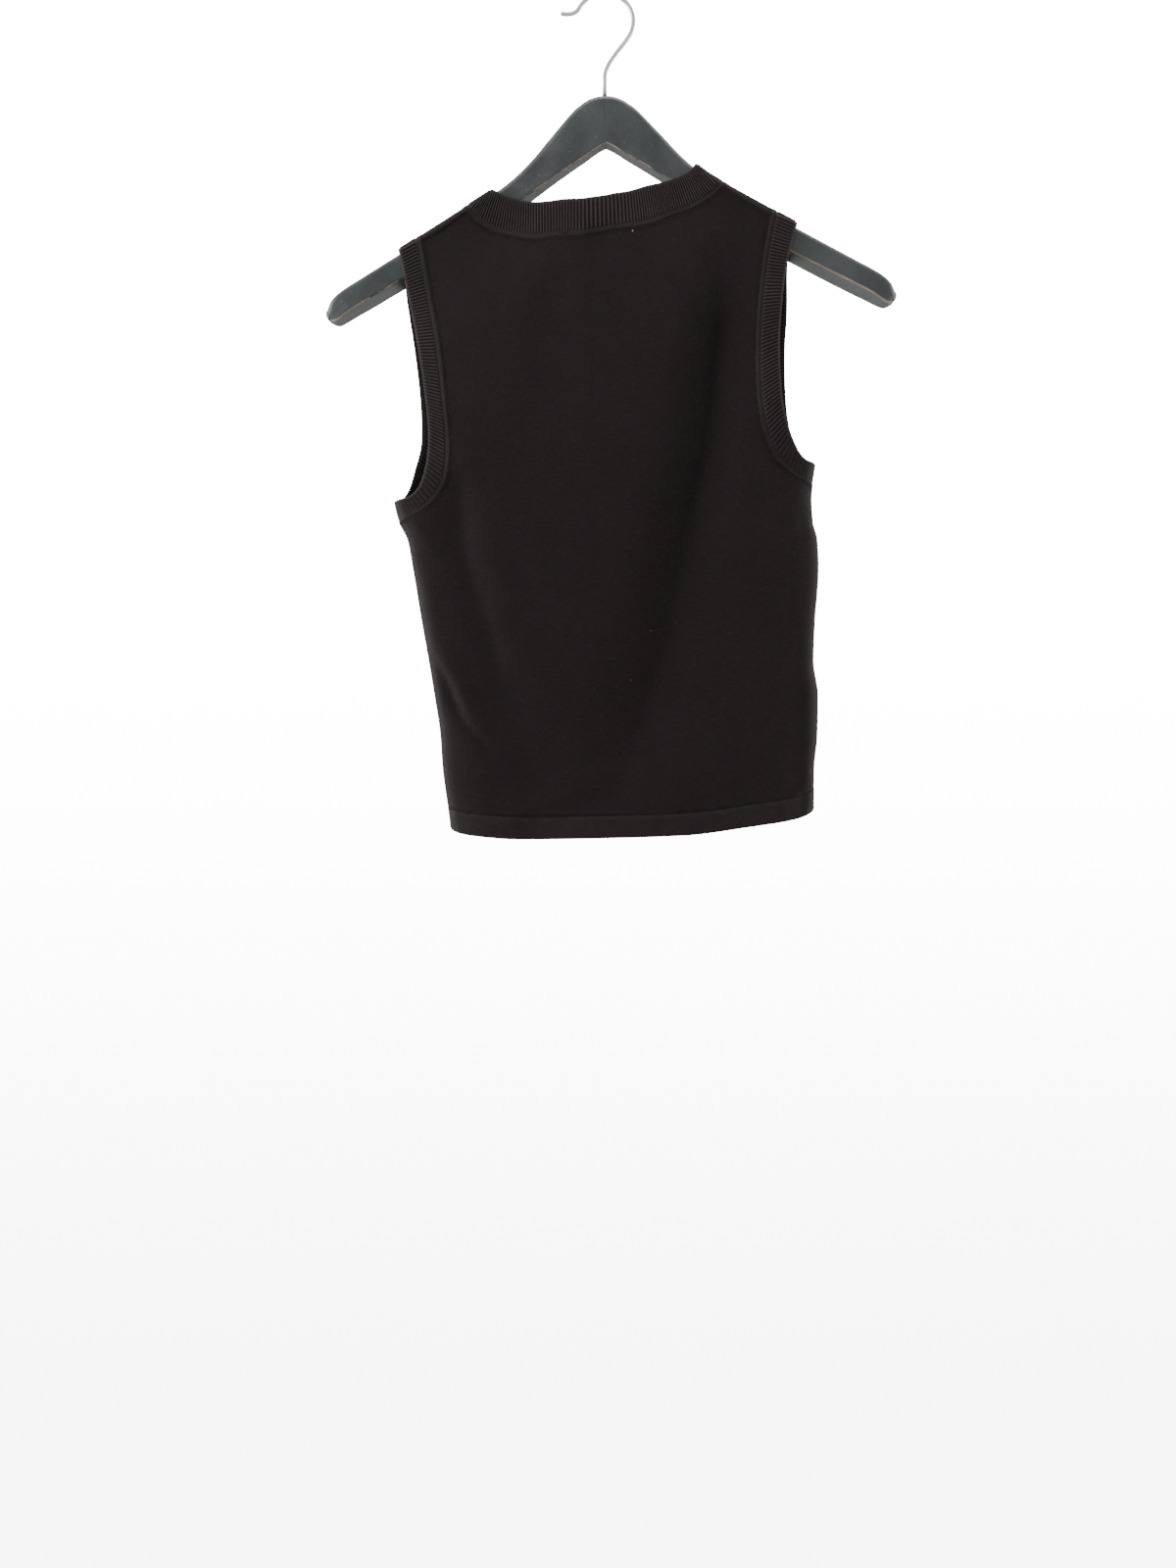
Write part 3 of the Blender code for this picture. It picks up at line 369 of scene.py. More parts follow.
# Folds and drape.  Each is a line down the cloth, with its width to the left
# and right of the line, and its rise; a negative rise is a trough.  First comes
# how softly the fold turns on its line, then rows of (z, x, left, right, rise).
FOLDS = {"back": [
    (2.4, [
        (-185, 88, 12, 24, 0), (-215, 88, 13, 24, -4), (-245, 88, 14, 24, -7), (-278, 86, 18, 25, -10.5),
        (-315, 82, 20, 26, -11.5), (-353, 77.5, 21, 28, -11.5), (-390, 70, 23, 30, -11.5),
        (-427, 61.5, 24, 32, -11), (-465, 55, 26, 36, -10.5), (-502, 48, 29, 38, -10),
        (-540, 38, 34, 40, -9.5), (-569, 29, 38, 42, -8), (-599, 18, 38, 38, -5.5), (-640, 4, 32, 34, 0)]),
    (3.0, [
        (-350, 112, 9, 9, 0), (-385, 112, 10, 10, 1.2), (-440, 113, 10, 10, 1.2), (-480, 115, 8, 8, 0)]),
    (2.5, [
        (-362, -112, 12, 9, 0), (-376, -111, 14, 9, -1.6), (-392, -110, 17, 11, -4.6),
        (-427, -108, 19, 12, -5.8), (-465, -99, 21, 12, -6), (-502, -88, 22, 12, -5.6),
        (-540, -76, 22, 13, -4), (-585, -62, 18, 14, 0)]),
    (4.0, [
        (-290, -108, 8, 14, 0), (-330, -106, 9, 16, 0.8), (-405, -99, 9, 18, 1.4), (-442, -93, 9, 18, 1.6),
        (-486, -82, 11, 18, 1.4), (-520, -68, 14, 20, 1.0), (-575, -46, 14, 20, 0)]),
    (0.8, [
        (-444, -146, 5, 9, 0), (-460, -142, 5, 10, 2.2), (-484, -139.5, 4.5, 10, 4.0),
        (-503, -135, 3.5, 10, 4.8), (-520, -126, 3, 10, 5.0), (-540, -112.5, 3, 10, 4.6),
        (-562, -104, 3.5, 10, 3.0), (-584, -94, 5, 9, 0)]),
    (0.8, [
        (-494, -143, 4, 4, 0), (-512, -133, 5, 3.5, -3.0), (-530, -124, 6, 3.5, -4.4),
        (-550, -115, 6, 3.5, -4.2), (-570, -104, 6, 4, -3.2), (-582, -94, 5, 4, -2.2), (-596, -84, 5, 4, 0)]),
    (4.0, [
        (-596, 6, 22, 22, 0), (-615, -19, 22, 20, 1.3), (-645, -80, 22, 20, 1.3), (-652, -95, 20, 20, 0.8)]),
    (6.0, [
        (-540, -54, 20, 24, 0), (-580, -54, 22, 26, -2.4), (-670, -50, 24, 26, -4)]),
    (3.0, [
        (-462, 143, 9, 8, 0), (-520, 146, 10, 8, -1.6), (-560, 149, 10, 7, -2.2), (-606, 150, 10, 7, -2.2),
        (-670, 148, 12, 10, -1.2)]),
    (1.2, [
        (-598, 163, 3, 3, 0), (-604, 159.6, 3, 3, 1.4), (-612, 155.8, 3, 3, 2.0), (-619, 149.8, 3, 3, 1.6),
        (-624, 144, 3, 3, 0)]),
    (1.2, [
        (-612, 160, 4, 4, 0), (-620, 156, 4, 4, -1.6), (-630, 152, 4, 4, -1.2), (-638, 150, 4, 4, 0)]),
    (1.5, [
        (-520, 160, 6, 5, 0), (-534, 157, 7, 5, 2.2), (-560, 156, 7, 5, 2.4), (-590, 156, 7, 5, 2.4),
        (-602, 155, 7, 5, 2.0), (-612, 154, 7, 5, 0)]),
    (5.0, [
        (-545, 112, 26, 22, 0), (-590, 114, 26, 22, 1.0), (-670, 116, 26, 22, 1.4)]),
    (3.0, [
        (-196, 54, 10, 14, 0), (-230, 56, 12, 16, 1.0), (-300, 50, 12, 16, 1.0), (-350, 44, 12, 16, 0)]),
    (4.0, [
        (-205, -58, 14, 12, 0), (-240, -62, 14, 12, 0.8), (-300, -66, 14, 12, 0.8), (-360, -70, 14, 12, 0)]),
    (1.0, [
        (-384, 151, 3, 4, 0), (-390, 148, 4, 5, 1.5), (-402, 140, 4, 5, 1.2), (-416, 133, 4, 5, 0)]),
    (1.0, [
        (-386, 160, 3, 3, 0), (-394, 157, 4, 4, -1.5), (-412, 153, 4, 4, -1.3), (-432, 150, 4, 4, 0)]),
    (1.0, [
        (-410, -149, 3, 3, 0), (-416, -145, 4, 4, 1.9), (-426, -138, 4, 5, 1.6), (-442, -130, 4, 5, 0)]),
    (1.0, [
        (-413, -154, 3, 3, 0), (-422, -150, 4, 4, -1.7), (-438, -146, 4, 4, -1.3), (-458, -143, 4, 4, 0)]),
], "front": [
    (4.0, [
        (-225, -72, 14, 26, 0), (-280, -72, 16, 34, -6), (-360, -66, 16, 38, -9), (-450, -56, 16, 38, -9),
        (-520, -48, 16, 34, -5), (-580, -44, 16, 30, 0)]),
    (5.0, [
        (-290, -34, 12, 20, 0), (-360, -30, 12, 22, 2.6), (-480, -20, 12, 22, 3.2), (-600, -10, 12, 22, 0)]),
    (3.5, [
        (-320, 86, 24, 16, 0), (-380, 84, 30, 18, -5), (-480, 76, 34, 20, -8.5), (-580, 66, 32, 20, -8.5),
        (-670, 60, 30, 20, -7)]),
    (4.0, [
        (-370, 118, 12, 12, 0), (-430, 118, 12, 14, 2.6), (-580, 114, 12, 14, 3.0),
        (-660, 112, 12, 14, 1.0)]),
    (3.0, [
        (-390, -118, 11, 13, 0), (-450, -112, 12, 14, -4.2), (-560, -102, 12, 14, -4.8),
        (-660, -95, 12, 14, -2)]),
    (6.0, [
        (-510, 8, 18, 20, 0), (-570, 6, 20, 22, -3.5), (-670, 4, 22, 24, -5.5)]),
    (1.2, [
        (-384, 152, 4, 4, 0), (-392, 146, 5, 5, 1.7), (-408, 136, 5, 5, 1.4), (-428, 126, 5, 5, 0)]),
    (1.2, [
        (-412, -150, 4, 4, 0), (-420, -144, 5, 5, 1.9), (-436, -135, 5, 5, 1.5), (-454, -128, 5, 5, 0)]),
    (3.0, [
        (-268, 40, 9, 12, 0), (-300, 44, 10, 14, 1.3), (-370, 54, 10, 14, 1.3), (-420, 60, 10, 12, 0)]),
    (2.0, [
        (-556, -98, 8, 9, 0), (-580, -84, 9, 12, 1.8), (-610, -64, 10, 14, 1.8), (-640, -44, 10, 14, 0)]),
]}


def ease(value):
    """A smooth step from 0 to 1."""
    value = np.clip(value, 0.0, 1.0)
    return value * value * (3 - 2 * value)


def graph(rows):
    """A smooth line through (key, value) rows, straight beyond its ends."""
    keys, values = np.array(sorted(rows), float).T
    steps = np.diff(values) / np.diff(keys)
    agree = steps[:-1] * steps[1:] > 0
    total = np.where(agree, steps[:-1] + steps[1:], 1.0)
    slopes = np.concatenate([steps[:1], np.where(agree, 2 * steps[:-1] * steps[1:] / total, 0.0), steps[-1:]])

    def at(key):
        key = np.asarray(key, float)
        k = np.clip(np.searchsorted(keys, key) - 1, 0, len(keys) - 2)
        span = keys[k + 1] - keys[k]
        t = np.clip((key - keys[k]) / span, 0.0, 1.0)
        curve = ((1 + 2 * t) * (1 - t) ** 2 * values[k] + t * (1 - t) ** 2 * span * slopes[k]
                 + t * t * (3 - 2 * t) * values[k + 1] - t * t * (1 - t) * span * slopes[k + 1])
        under = slopes[0] * np.minimum(key - keys[0], 0.0)
        over = slopes[-1] * np.maximum(key - keys[-1], 0.0)
        return curve + under + over

    return at


def column(rows, key, value):
    return graph([(row[key], row[value]) for row in rows])


SIGN = {"back": 1, "front": -1}
ridge_rows = {}
for x, z in [(row["top_x"], row["top_z"]) for row in HANGER[:RIDGE_LAST]] + [RIDGE_BEYOND]:
    for hand in (-1, 1):
        place, height = rolled(hand * x, z)
        ridge_rows[place] = height + RIDGE_COVER
ridge = graph(ridge_rows.items())
hanger_half = column(HANGER, "top_x", "half")
side_left = column(SIDES, "z", "left")
side_right = column(SIDES, "z", "right")
depth = {face: column(DEPTHS, "z", face) for face in ("back", "front", "edge")}
hem_line = column(HEM_LINE, "x", "z")


def turned_in(run, radius):
    """How far cloth gets sideways after it has run round a turn."""
    turn = np.minimum(run / radius, QUARTER)
    return radius * (1 - np.cos(turn)) + np.maximum(run - QUARTER * radius, 0.0)


def turned_out(run, radius):
    """The share of its full depth that cloth has after that run."""
    return np.sin(np.minimum(run / radius, QUARTER))


def run_for_drop(drop):
    """The run along the cloth that ends at this drop under the ridge."""
    turn = np.arccos(np.clip(1 - drop / RIDGE_ROUND, 0.0, 1.0))
    return RIDGE_ROUND * turn + np.maximum(drop - RIDGE_ROUND, 0.0)


folds = {"back": [], "front": []}
for face, listed in FOLDS.items():
    for soft, rows in listed:
        levels = [row[0] for row in rows]
        lines = [graph([(row[0], row[k]) for row in rows]) for k in (1, 2, 3, 4)]
        folds[face].append((soft, min(levels), max(levels), lines))


def fold_rise(x, z, face):
    total = np.zeros_like(x)
    for soft, low, high, (middle, left, right, rise) in folds[face]:
        level = np.clip(z, low, high)
        aside = x - middle(level)
        width = np.where(aside < 0, left(level), right(level))
        away = np.hypot(aside, soft) - soft
        total += rise(level) * np.exp(-away / width * (0.55 + 0.45 * away / width))
    return total


def ripple(x, z):
    """The slight unevenness of knitted cloth that hangs free."""
    slow = 0.30 * np.sin(x / 17.0 + 0.9 * np.sin(z / 61.0)) * np.sin(z / 83.0 + 1.1 * np.sin(x / 53.0))
    quick = 0.11 * np.sin(x / 6.1 + 1.7 * np.sin(z / 23.0)) * np.sin(z / 19.0 + x / 31.0)
    return slow + quick


def depth_at(x, z, face):
    """Depth of the cloth's middle from the middle plane."""
    left = side_left(z)
    right = side_right(z)
    share = np.clip(np.abs(2 * (x - left) / (right - left) - 1), 0.0, 1.0)
    edge = depth["edge"](z)
    hung = edge + (depth[face](z) - edge) * FULLNESS * (1 - share ** SIDE_FALL) ** SIDE_FALL_SHARE
    hung += (fold_rise(x, z, face) + ripple(x, z)) * ease((1 - share) * FOLDS_FROM_SIDE)
    held = hanger_half(np.minimum(np.abs(x), HELD_TO)) + DEPTH_COVER
    free = ease((ridge(x) - z) / DEPTH_BLEND)
    return held + (hung - held) * free


def on_cloth(across, down):
    """Points of the cloth.

    across runs to the right along the cloth, and down runs from the
    shoulder's ridge, positive down the back and negative down the front.
    """
    z = ridge(across) - turned_in(np.abs(down), RIDGE_ROUND)
    left = side_left(z)
    right = side_right(z)
    tuck = (QUARTER - 1) * SIDE_ROUND
    run = np.maximum(np.minimum(across - left + tuck, right - across + tuck), 0.0)
    inset = turned_in(run, SIDE_ROUND)
    turning = run < QUARTER * SIDE_ROUND
    x = np.where(turning, np.where(across < (left + right) / 2, left + inset, right - inset), across)
    deep = np.where(down >= 0, -depth_at(x, z, "back"), depth_at(x, z, "front"))
    y = deep * turned_out(run, SIDE_ROUND) * turned_out(np.abs(down), RIDGE_ROUND)
    return np.stack([x, y, z], axis=1) * MM


def out_of_cloth(across, down):
    """Outward directions of the cloth at those points."""
    step = 0.4
    along = on_cloth(across + step, down) - on_cloth(across - step, down)
    drop = on_cloth(across, down + step) - on_cloth(across, down - step)
    out = np.cross(drop, along)
    return out / np.maximum(np.linalg.norm(out, axis=1), 1e-12)[:, None]


def side_across(z, hand):
    """The cloth's reach at its side seam."""
    tuck = (QUARTER - 1) * SIDE_ROUND
    return side_left(z) - tuck if hand < 0 else side_right(z) + tuck


def down_for(x, z):
    return run_for_drop(ridge(x) - z)


def lengths(path):
    return np.concatenate([[0.0], np.cumsum(np.hypot(*np.diff(path, axis=0).T))])


def resample(path, shares):
    """Points at the given shares of a polyline's length."""
    path = np.asarray(path, float)
    total = lengths(path)
    goals = np.asarray(shares) * total[-1]
    return np.stack([np.interp(goals, total, path[:, 0]), np.interp(goals, total, path[:, 1])], axis=1)


def beside(path, distance):
    """A polyline moved to its left by a distance."""
    path = np.asarray(path, float)
    heading = np.gradient(path, axis=0)
    heading /= np.hypot(*heading.T)[:, None]
    return path + np.stack([-heading[:, 1], heading[:, 0]], axis=1) * distance


def face_points(rows, face, hand=0):
    """A table's rows as (across, down) points on one face of the cloth."""
    points = []
    for row in rows:
        x, z = row["x"], row["z"]
        if x is None:
            x = float(side_across(z, hand))
        elif face == "front" and hand:
            x += hand * row["out"]
        drop = 0.0 if z is None else float(down_for(x, z))
        points.append((x, SIGN[face] * drop))
    return points


def cut_at(path, down):
    """The polyline from where it first crosses this run from the ridge."""
    path = np.asarray(path, float)
    for k in range(len(path) - 1):
        a, b = path[k], path[k + 1]
        if (a[1] - down) * (b[1] - down) <= 0 and a[1] != b[1]:
            t = (down - a[1]) / (b[1] - a[1])
            return np.vstack([a + (b - a) * t, path[k + 1:]])
    return path


def arm_line(hand, face):
    """The armhole seam of one panel, from the shoulder seam to the underarm."""
    back = spline(face_points(ARM_SEAM[hand], "back", hand), SEAM_STEPS)
    if face == "back":
        return cut_at(back, SHOULDER_SEAM)
    front = spline(face_points(ARM_SEAM[hand], "front", hand), SEAM_STEPS)
    return cut_at(np.vstack([back[:OVER_SHOULDER][::-1], front[1:]]), SHOULDER_SEAM)


def neck_line(face):
    """The neck seam of one panel, from its left shoulder seam to its right."""
    path = spline(face_points(NECK_SEAM_BACK, "back"), SEAM_STEPS)
    if face == "front":
        front = spline(face_points(NECK_SEAM_FRONT, "front"), SEAM_STEPS)
        path = np.vstack([path[OVER_SHOULDER::-1], front[1:-1], path[:-OVER_SHOULDER:-1]])
    path = cut_at(path, SHOULDER_SEAM)
    return cut_at(path[::-1], SHOULDER_SEAM)[::-1]


def side_line(face, hand, top, rise):
    """A side seam, from the underarm to some height over the bottom edge."""
    bottom = hem_row(face, rise, [0.0, 1.0])[0 if hand < 0 else 1]
    z = np.linspace(float(ridge(top[0]) - turned_in(abs(top[1]), RIDGE_ROUND)),
                    float(ridge(bottom[0]) - turned_in(abs(bottom[1]), RIDGE_ROUND)), 60)
    x = side_across(z, hand)
    return np.stack([x, SIGN[face] * down_for(x, z)], axis=1)


def hem_row(face, rise, shares):
    """A row of the cloth at some height over the bottom edge."""
    middle = hem_line(0) + rise
    left = side_across(hem_line(side_left(middle)) + rise, -1)
    right = side_across(hem_line(side_right(middle)) + rise, 1)
    x = left + (right - left) * np.asarray(shares)
    return np.stack([x, SIGN[face] * down_for(x, hem_line(x) + rise)], axis=1)


def levelled(across, run):
    """How far a row that follows the shoulders has turned level by this run."""
    return (ridge(across) - ridge(0) + LEVEL_DROP) * ease((run - LEVEL_FROM) / LEVEL_OVER)


def panel_outline(face, step):
    """A panel's cut edge in the flat cloth, in even steps, tucked under the bands."""
    tuck = -SEAM_TUCK * SIGN[face]
    neck = beside(neck_line(face), tuck)
    arms = {hand: beside(arm_line(hand, face), hand * tuck) for hand in (-1, 1)}
    legs = []
    for hand in (-1, 1):
        side = side_line(face, hand, arm_line(hand, face)[-1], HEM_TALL - HEM_TUCK)
        legs.append(np.vstack([arms[hand][:-1], side]))
    bottom = hem_row(face, HEM_TALL - HEM_TUCK, np.linspace(0, 1, 90))
    runs = [np.array([legs[0][0], neck[0]]), neck, np.array([neck[-1], legs[1][0]]),
            legs[1], bottom[::-1], legs[0][::-1]]
    outline = []
    for run in runs:
        spans = max(2, round(lengths(run)[-1] / step))
        outline.append(resample(run, np.arange(spans) / spans))
    return np.vstack(outline)


def in_outline(outline, points):
    x, y = points.T
    within = np.zeros(len(points), bool)
    for a, b in zip(outline, np.roll(outline, -1, axis=0)):
        if a[1] == b[1]:
            continue
        crosses = ((a[1] > y) != (b[1] > y)) & (x < a[0] + (y - a[1]) * (b[0] - a[0]) / (b[1] - a[1]))
        within ^= crosses
    return within


def from_outline(outline, points):
    """Distance from each point to the outline."""
    best = np.full(len(points), 1e9)
    for a, b in zip(outline, np.roll(outline, -1, axis=0)):
        d = b - a
        t = np.clip(((points - a) @ d) / max(d @ d, 1e-9), 0.0, 1.0)
        best = np.minimum(best, np.hypot(*(points - a - t[:, None] * d).T))
    return best


def panel_net(face, outline, net):
    """Points inside a panel, closer where the cloth turns at its ridge and sides."""
    sign = SIGN[face]
    runs = []
    run = SHOULDER_SEAM * sign
    while run < PANEL_RUN:
        run += 1.5 if abs(run) < RIDGE_ROUND * QUARTER + 2 else net
        runs.append(run)
    points = []
    for run in runs:
        drop = turned_in(abs(run), RIDGE_ROUND) + LEVEL_DROP * ease((run - LEVEL_FROM) / LEVEL_OVER)
        left = float(side_across(ridge(0) - drop, -1))
        right = float(side_across(ridge(0) - drop, 1))
        start, end = left + NEAR_SIDE[-1] + 2, right - NEAR_SIDE[-1] - 2
        spans = round((right - left - 2 * NEAR_SIDE[-1] - 4) / net)
        places = np.concatenate([left + NEAR_SIDE, np.linspace(start, end, spans), right - NEAR_SIDE[::-1]])
        row = np.stack([places, sign * (run + levelled(places, run))], axis=1)
        points.append(row)
    points = np.vstack(points)
    points = points[in_outline(outline, points)]
    return points[from_outline(outline, points) > 0.8]


def knit_material(name, dark, light, wale, course, depth_of_stitch, stitch_tone_and_gap_shade=0.6):
    """Plain knit: columns of V stitches, raised over the gaps between them, with painted shade in the gaps."""
    material, tree, shader, add = painter(name)
    flat = add("ShaderNodeUVMap", uv_map="flat").outputs[0]
    knit = add("ShaderNodeGroup", {"Flat": flat, "Wale": wale, "Course": course}, node_tree=stitch_group)
    place = add("ShaderNodeTexCoord").outputs["Object"]
    cloudy = noise(add, place, 26.0, 4.0, 0.6)
    # The stitch colour is partly the yarn's uneven tone and partly painted shade, darker in the gaps between
    # the legs.
    shade = math_node(add, "MULTIPLY_ADD", knit.outputs["Yarn"], stitch_tone_and_gap_shade, 0.35 - stitch_tone_and_gap_shade * 0.58)
    shade = math_node(add, "MULTIPLY_ADD", cloudy, 0.5, shade)
    # Painted light and shade from the pieces: shade in rib grooves, seam lines and plain strips, and painted
    # highlights on band edges and the hem's top rows.
    groove = add("ShaderNodeAttribute", attribute_name="groove").outputs["Fac"]
    shade = math_node(add, "MULTIPLY_ADD", groove, -0.62, shade)
    tree.links.new(mixed(add, shade, dark, light), shader.inputs["Base Color"])
    rough = math_node(add, "MULTIPLY_ADD", knit.outputs["Yarn"], -0.1, 0.92)
    tree.links.new(rough, shader.inputs["Roughness"])
    shader.inputs["Specular IOR Level"].default_value = 0.1
    shader.inputs["Sheen Weight"].default_value = 0.07
    shader.inputs["Sheen Roughness"].default_value = 0.5
    shader.inputs["Sheen Tint"].default_value = (0.9, 0.82, 0.8, 1)
    raised(tree, shader, add, knit.outputs["Height"], 0.8, depth_of_stitch)
    return material


stitch_group = bpy.data.node_groups.new("Plain knit stitches", "ShaderNodeTree")
for name, kind in (("Flat", "NodeSocketVector"), ("Wale", "NodeSocketFloat"), ("Course", "NodeSocketFloat")):
    stitch_group.interface.new_socket(name, in_out="INPUT", socket_type=kind)
for name in ("Height", "Yarn"):
    stitch_group.interface.new_socket(name, in_out="OUTPUT", socket_type="NodeSocketFloat")
add = adder(stitch_group)
given = add("NodeGroupInput").outputs
uneven = noise(add, given["Flat"], 160.0, 2.0)
parts_of = add("ShaderNodeSeparateXYZ", {0: given["Flat"]}).outputs
column_at = math_node(add, "DIVIDE", parts_of[0], given["Wale"])
column_at = math_node(add, "MULTIPLY_ADD", uneven, 0.22, column_at)
in_column = math_node(add, "SUBTRACT", math_node(add, "FRACT", column_at), 0.5)
aside = math_node(add, "MULTIPLY", math_node(add, "ABSOLUTE", in_column), 2.0)
row_at = math_node(add, "DIVIDE", parts_of[1], given["Course"])
row_at = math_node(add, "MULTIPLY_ADD", uneven, 0.3, row_at)
slanted = math_node(add, "MULTIPLY_ADD", aside, 0.9, row_at)
leg = math_node(add, "SINE", math_node(add, "MULTIPLY", math_node(add, "FRACT", slanted), math.pi))
across_leg = math_node(add, "SINE", math_node(add, "MULTIPLY", aside, math.pi))
body = math_node(add, "POWER", across_leg, 0.6)
yarn = math_node(add, "MULTIPLY", body, math_node(add, "MULTIPLY_ADD", leg, 0.45, 0.55))
finish = add("NodeGroupOutput")
stitch_group.links.new(yarn, finish.inputs["Height"])
# Yarn's tone: painted shade that follows the stitch height and is darker in the gaps, plus the yarn's uneven
# tone.
yarn_tone_and_gap_shade = math_node(add, "MULTIPLY_ADD", uneven, 0.35, math_node(add, "MULTIPLY", yarn, 0.75))
stitch_group.links.new(yarn_tone_and_gap_shade, finish.inputs["Yarn"])

WALE = 1.45 * MM
COURSE = 1.15 * MM
knit = knit_material("Fine plain knit, brown black", (0.0100, 0.0073, 0.0078, 1),
                     (0.0224, 0.0169, 0.0177, 1), WALE, COURSE, 0.00035)


def set_flat_map(piece, flat):
    """Gives a piece its place in the flat cloth as a UV map, in metres."""
    layer = piece.data.uv_layers.new(name="flat")
    corners = np.empty(len(piece.data.loops), int)
    piece.data.loops.foreach_get("vertex_index", corners)
    layer.data.foreach_set("uv", (np.asarray(flat)[corners] * MM).ravel())


def applied(piece):
    """Turns a piece's modifiers into its mesh."""
    mesh = bpy.data.meshes.new_from_object(piece.evaluated_get(bpy.context.evaluated_depsgraph_get()))
    piece.modifiers.clear()
    mesh.name = piece.name
    piece.data = mesh


def thickened(piece, wall):
    """A wall of cloth round the piece, half on each side, applied."""
    solid = piece.modifiers.new("Wall", "SOLIDIFY")
    solid.thickness = wall * MM
    solid.offset = 0.0
    solid.use_even_offset = True
    applied(piece)
    piece.data.shade_smooth()


def body_panel(face, net=3.0):
    """One panel: a net in the flat cloth, laid on the hung cloth, with its wall."""
    sign = SIGN[face]
    outline = panel_outline(face, net)
    knots = np.vstack([outline, panel_net(face, outline, net)])
    flat = np.stack([knots[:, 0], -sign * knots[:, 1] + levelled(knots[:, 0], sign * knots[:, 1])], axis=1)
    rim = [(k, (k + 1) % len(outline)) for k in range(len(outline))]
    faces, origins = delaunay_2d_cdt([Vector(p) for p in flat], rim, [], 1, 0.001)[2:4]
    knots = knots[[origin[0] for origin in origins]]
    if face == "front":
        faces = [corners[::-1] for corners in faces]
    piece = new_piece(face + "_panel", on_cloth(knots[:, 0], knots[:, 1]), faces, knit)
    set_flat_map(piece, knots)
    thickened(piece, CLOTH)
    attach(piece, "root")
    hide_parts(face)
    return piece


back_panel = body_panel("back")
front_panel = body_panel("front")


# ---- Hem -----------------------------------------------------------------
# The bottom edge is knitted double, as a flat tube 17 mm tall, and linked to
# the panel above it.  It is rounded at the bottom and a little fuller, and its
# top rows are painted lighter, a painted highlight.
HEM_COLUMNS = 221
INSIDE_FLAT = 40.0
hem_knit = knit_material("Doubled plain knit, brown black", (0.0140, 0.0105, 0.0110, 1),
                         (0.0320, 0.0248, 0.0256, 1), WALE, COURSE, 0.00035)


def woven_grid(name, places, flats, material, closed=False):
    """A closed skin from rows of points; flats has one column more when closed."""
    rows, columns = places.shape[:2]
    faces = []
    corners = []
    for j in range(rows):
        below = (j + 1) % rows
        for i in range(columns if closed else columns - 1):
            beyond = (i + 1) % columns
            faces.append((j * columns + i, below * columns + i, below * columns + beyond, j * columns + beyond))
            corners += [flats[j, i], flats[below, i], flats[below, i + 1], flats[j, i + 1]]
    if not closed:
        faces.append(tuple(j * columns for j in range(rows)))
        faces.append(tuple(j * columns + columns - 1 for j in range(rows))[::-1])
        corners += [flats[j, 0] for j in range(rows)] + [flats[j, -1] for j in range(rows)][::-1]
    piece = new_piece(name, places.reshape(-1, 3), faces, material)
    layer = piece.data.uv_layers.new(name="flat")
    layer.data.foreach_set("uv", (np.array(corners) * MM).ravel())
    return piece


def lifted(places, lift):
    """Points of the cloth moved out of it by a distance each."""
    out = out_of_cloth(places[:, 0], places[:, 1])
    return on_cloth(places[:, 0], places[:, 1]) + out * np.reshape(lift, (-1, 1)) * MM


def hem_piece(face):
    """The doubled hem of one panel, from the rows of its outer skin."""
    turn = np.linspace(0, math.pi, HEM_COLUMNS)
    shares = (1 - np.cos(turn)) / 2 * 0.25 + np.linspace(0, 1, HEM_COLUMNS) * 0.75
    outside = [(HEM_TALL, 0.35), (16.8, 0.8), (16.4, 1.05), (15.4, 1.15), (13, 1.1), (10, 1.08), (7, 1.1),
               (4, 1.15), (2.2, 1.15), (1.2, 1.05), (0.5, 0.8), (0.1, 0.4)]
    profile = outside + [(rise, -lift) for rise, lift in outside[::-1]]
    places = []
    flats = []
    painted_light_and_shade_rows = []
    for rise, lift in profile:
        row = hem_row(face, rise, shares)
        # Painted highlight: the top rows of the hem are drawn lighter.
        painted_light_and_shade_rows.append(np.full(len(shares), -0.35 if rise > 15 else 0.0))
        pucker = 0.12 * np.sin(row[:, 0] / 2.3 + 2 * np.sin(row[:, 0] / 11.0))
        skin = np.clip(rise / HEM_TALL, 0, 1) * pucker
        places.append(lifted(row, lift + skin * np.sign(lift)))
        flats.append(row if lift > 0 else row + [0, INSIDE_FLAT])
    places = np.array(places)
    flats = np.array(flats)
    if face == "front":
        places = places[::-1]
        flats = flats[::-1]
    piece = woven_grid("hem_" + face + "_tube", places, flats, hem_knit)
    mark_points(piece.data, "groove", painted_light_and_shade_rows if face == "back" else painted_light_and_shade_rows[::-1])
    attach(piece, "root")
    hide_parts("hem_" + face)


for face in ("back", "front"):
    hem_piece(face)


# ---- Neckband and armbands -----------------------------------------------
# Strips of one-by-one rib, linked to the panels by a plain doubled strip.
# The ribs stand on both faces, half a step apart, and fade at the strip and
# at the rounded start of the free edge.  Painted shade darkens the rib grooves,
# the seam lines, the plain strip and the flattened ribs, and a painted highlight
# lights the free edge.
RIB_PITCH = 2.84
RIB_RISE = 0.7
RIB_POINTS = 6
BAND_HALF = 0.95
NECK_EDGE_BACK = table("x z", [
    (-89.3, None), (-84.5, -156.8), (-73, -161.5), (-40, -165.2), (-13, -163.7), (14, -159),
    (39.6, -151.7), (58.5, -144.8), (67.5, -138.8), (71.7, None),
])
NECK_EDGE_FRONT = table("x z", [
    (-89.3, None), (-85, -181), (-74, -205), (-55, -224.5), (-30, -235.5), (-2, -237.5), (26, -230.5),
    (50, -213), (65, -189), (71, -160), (71.7, None),
])
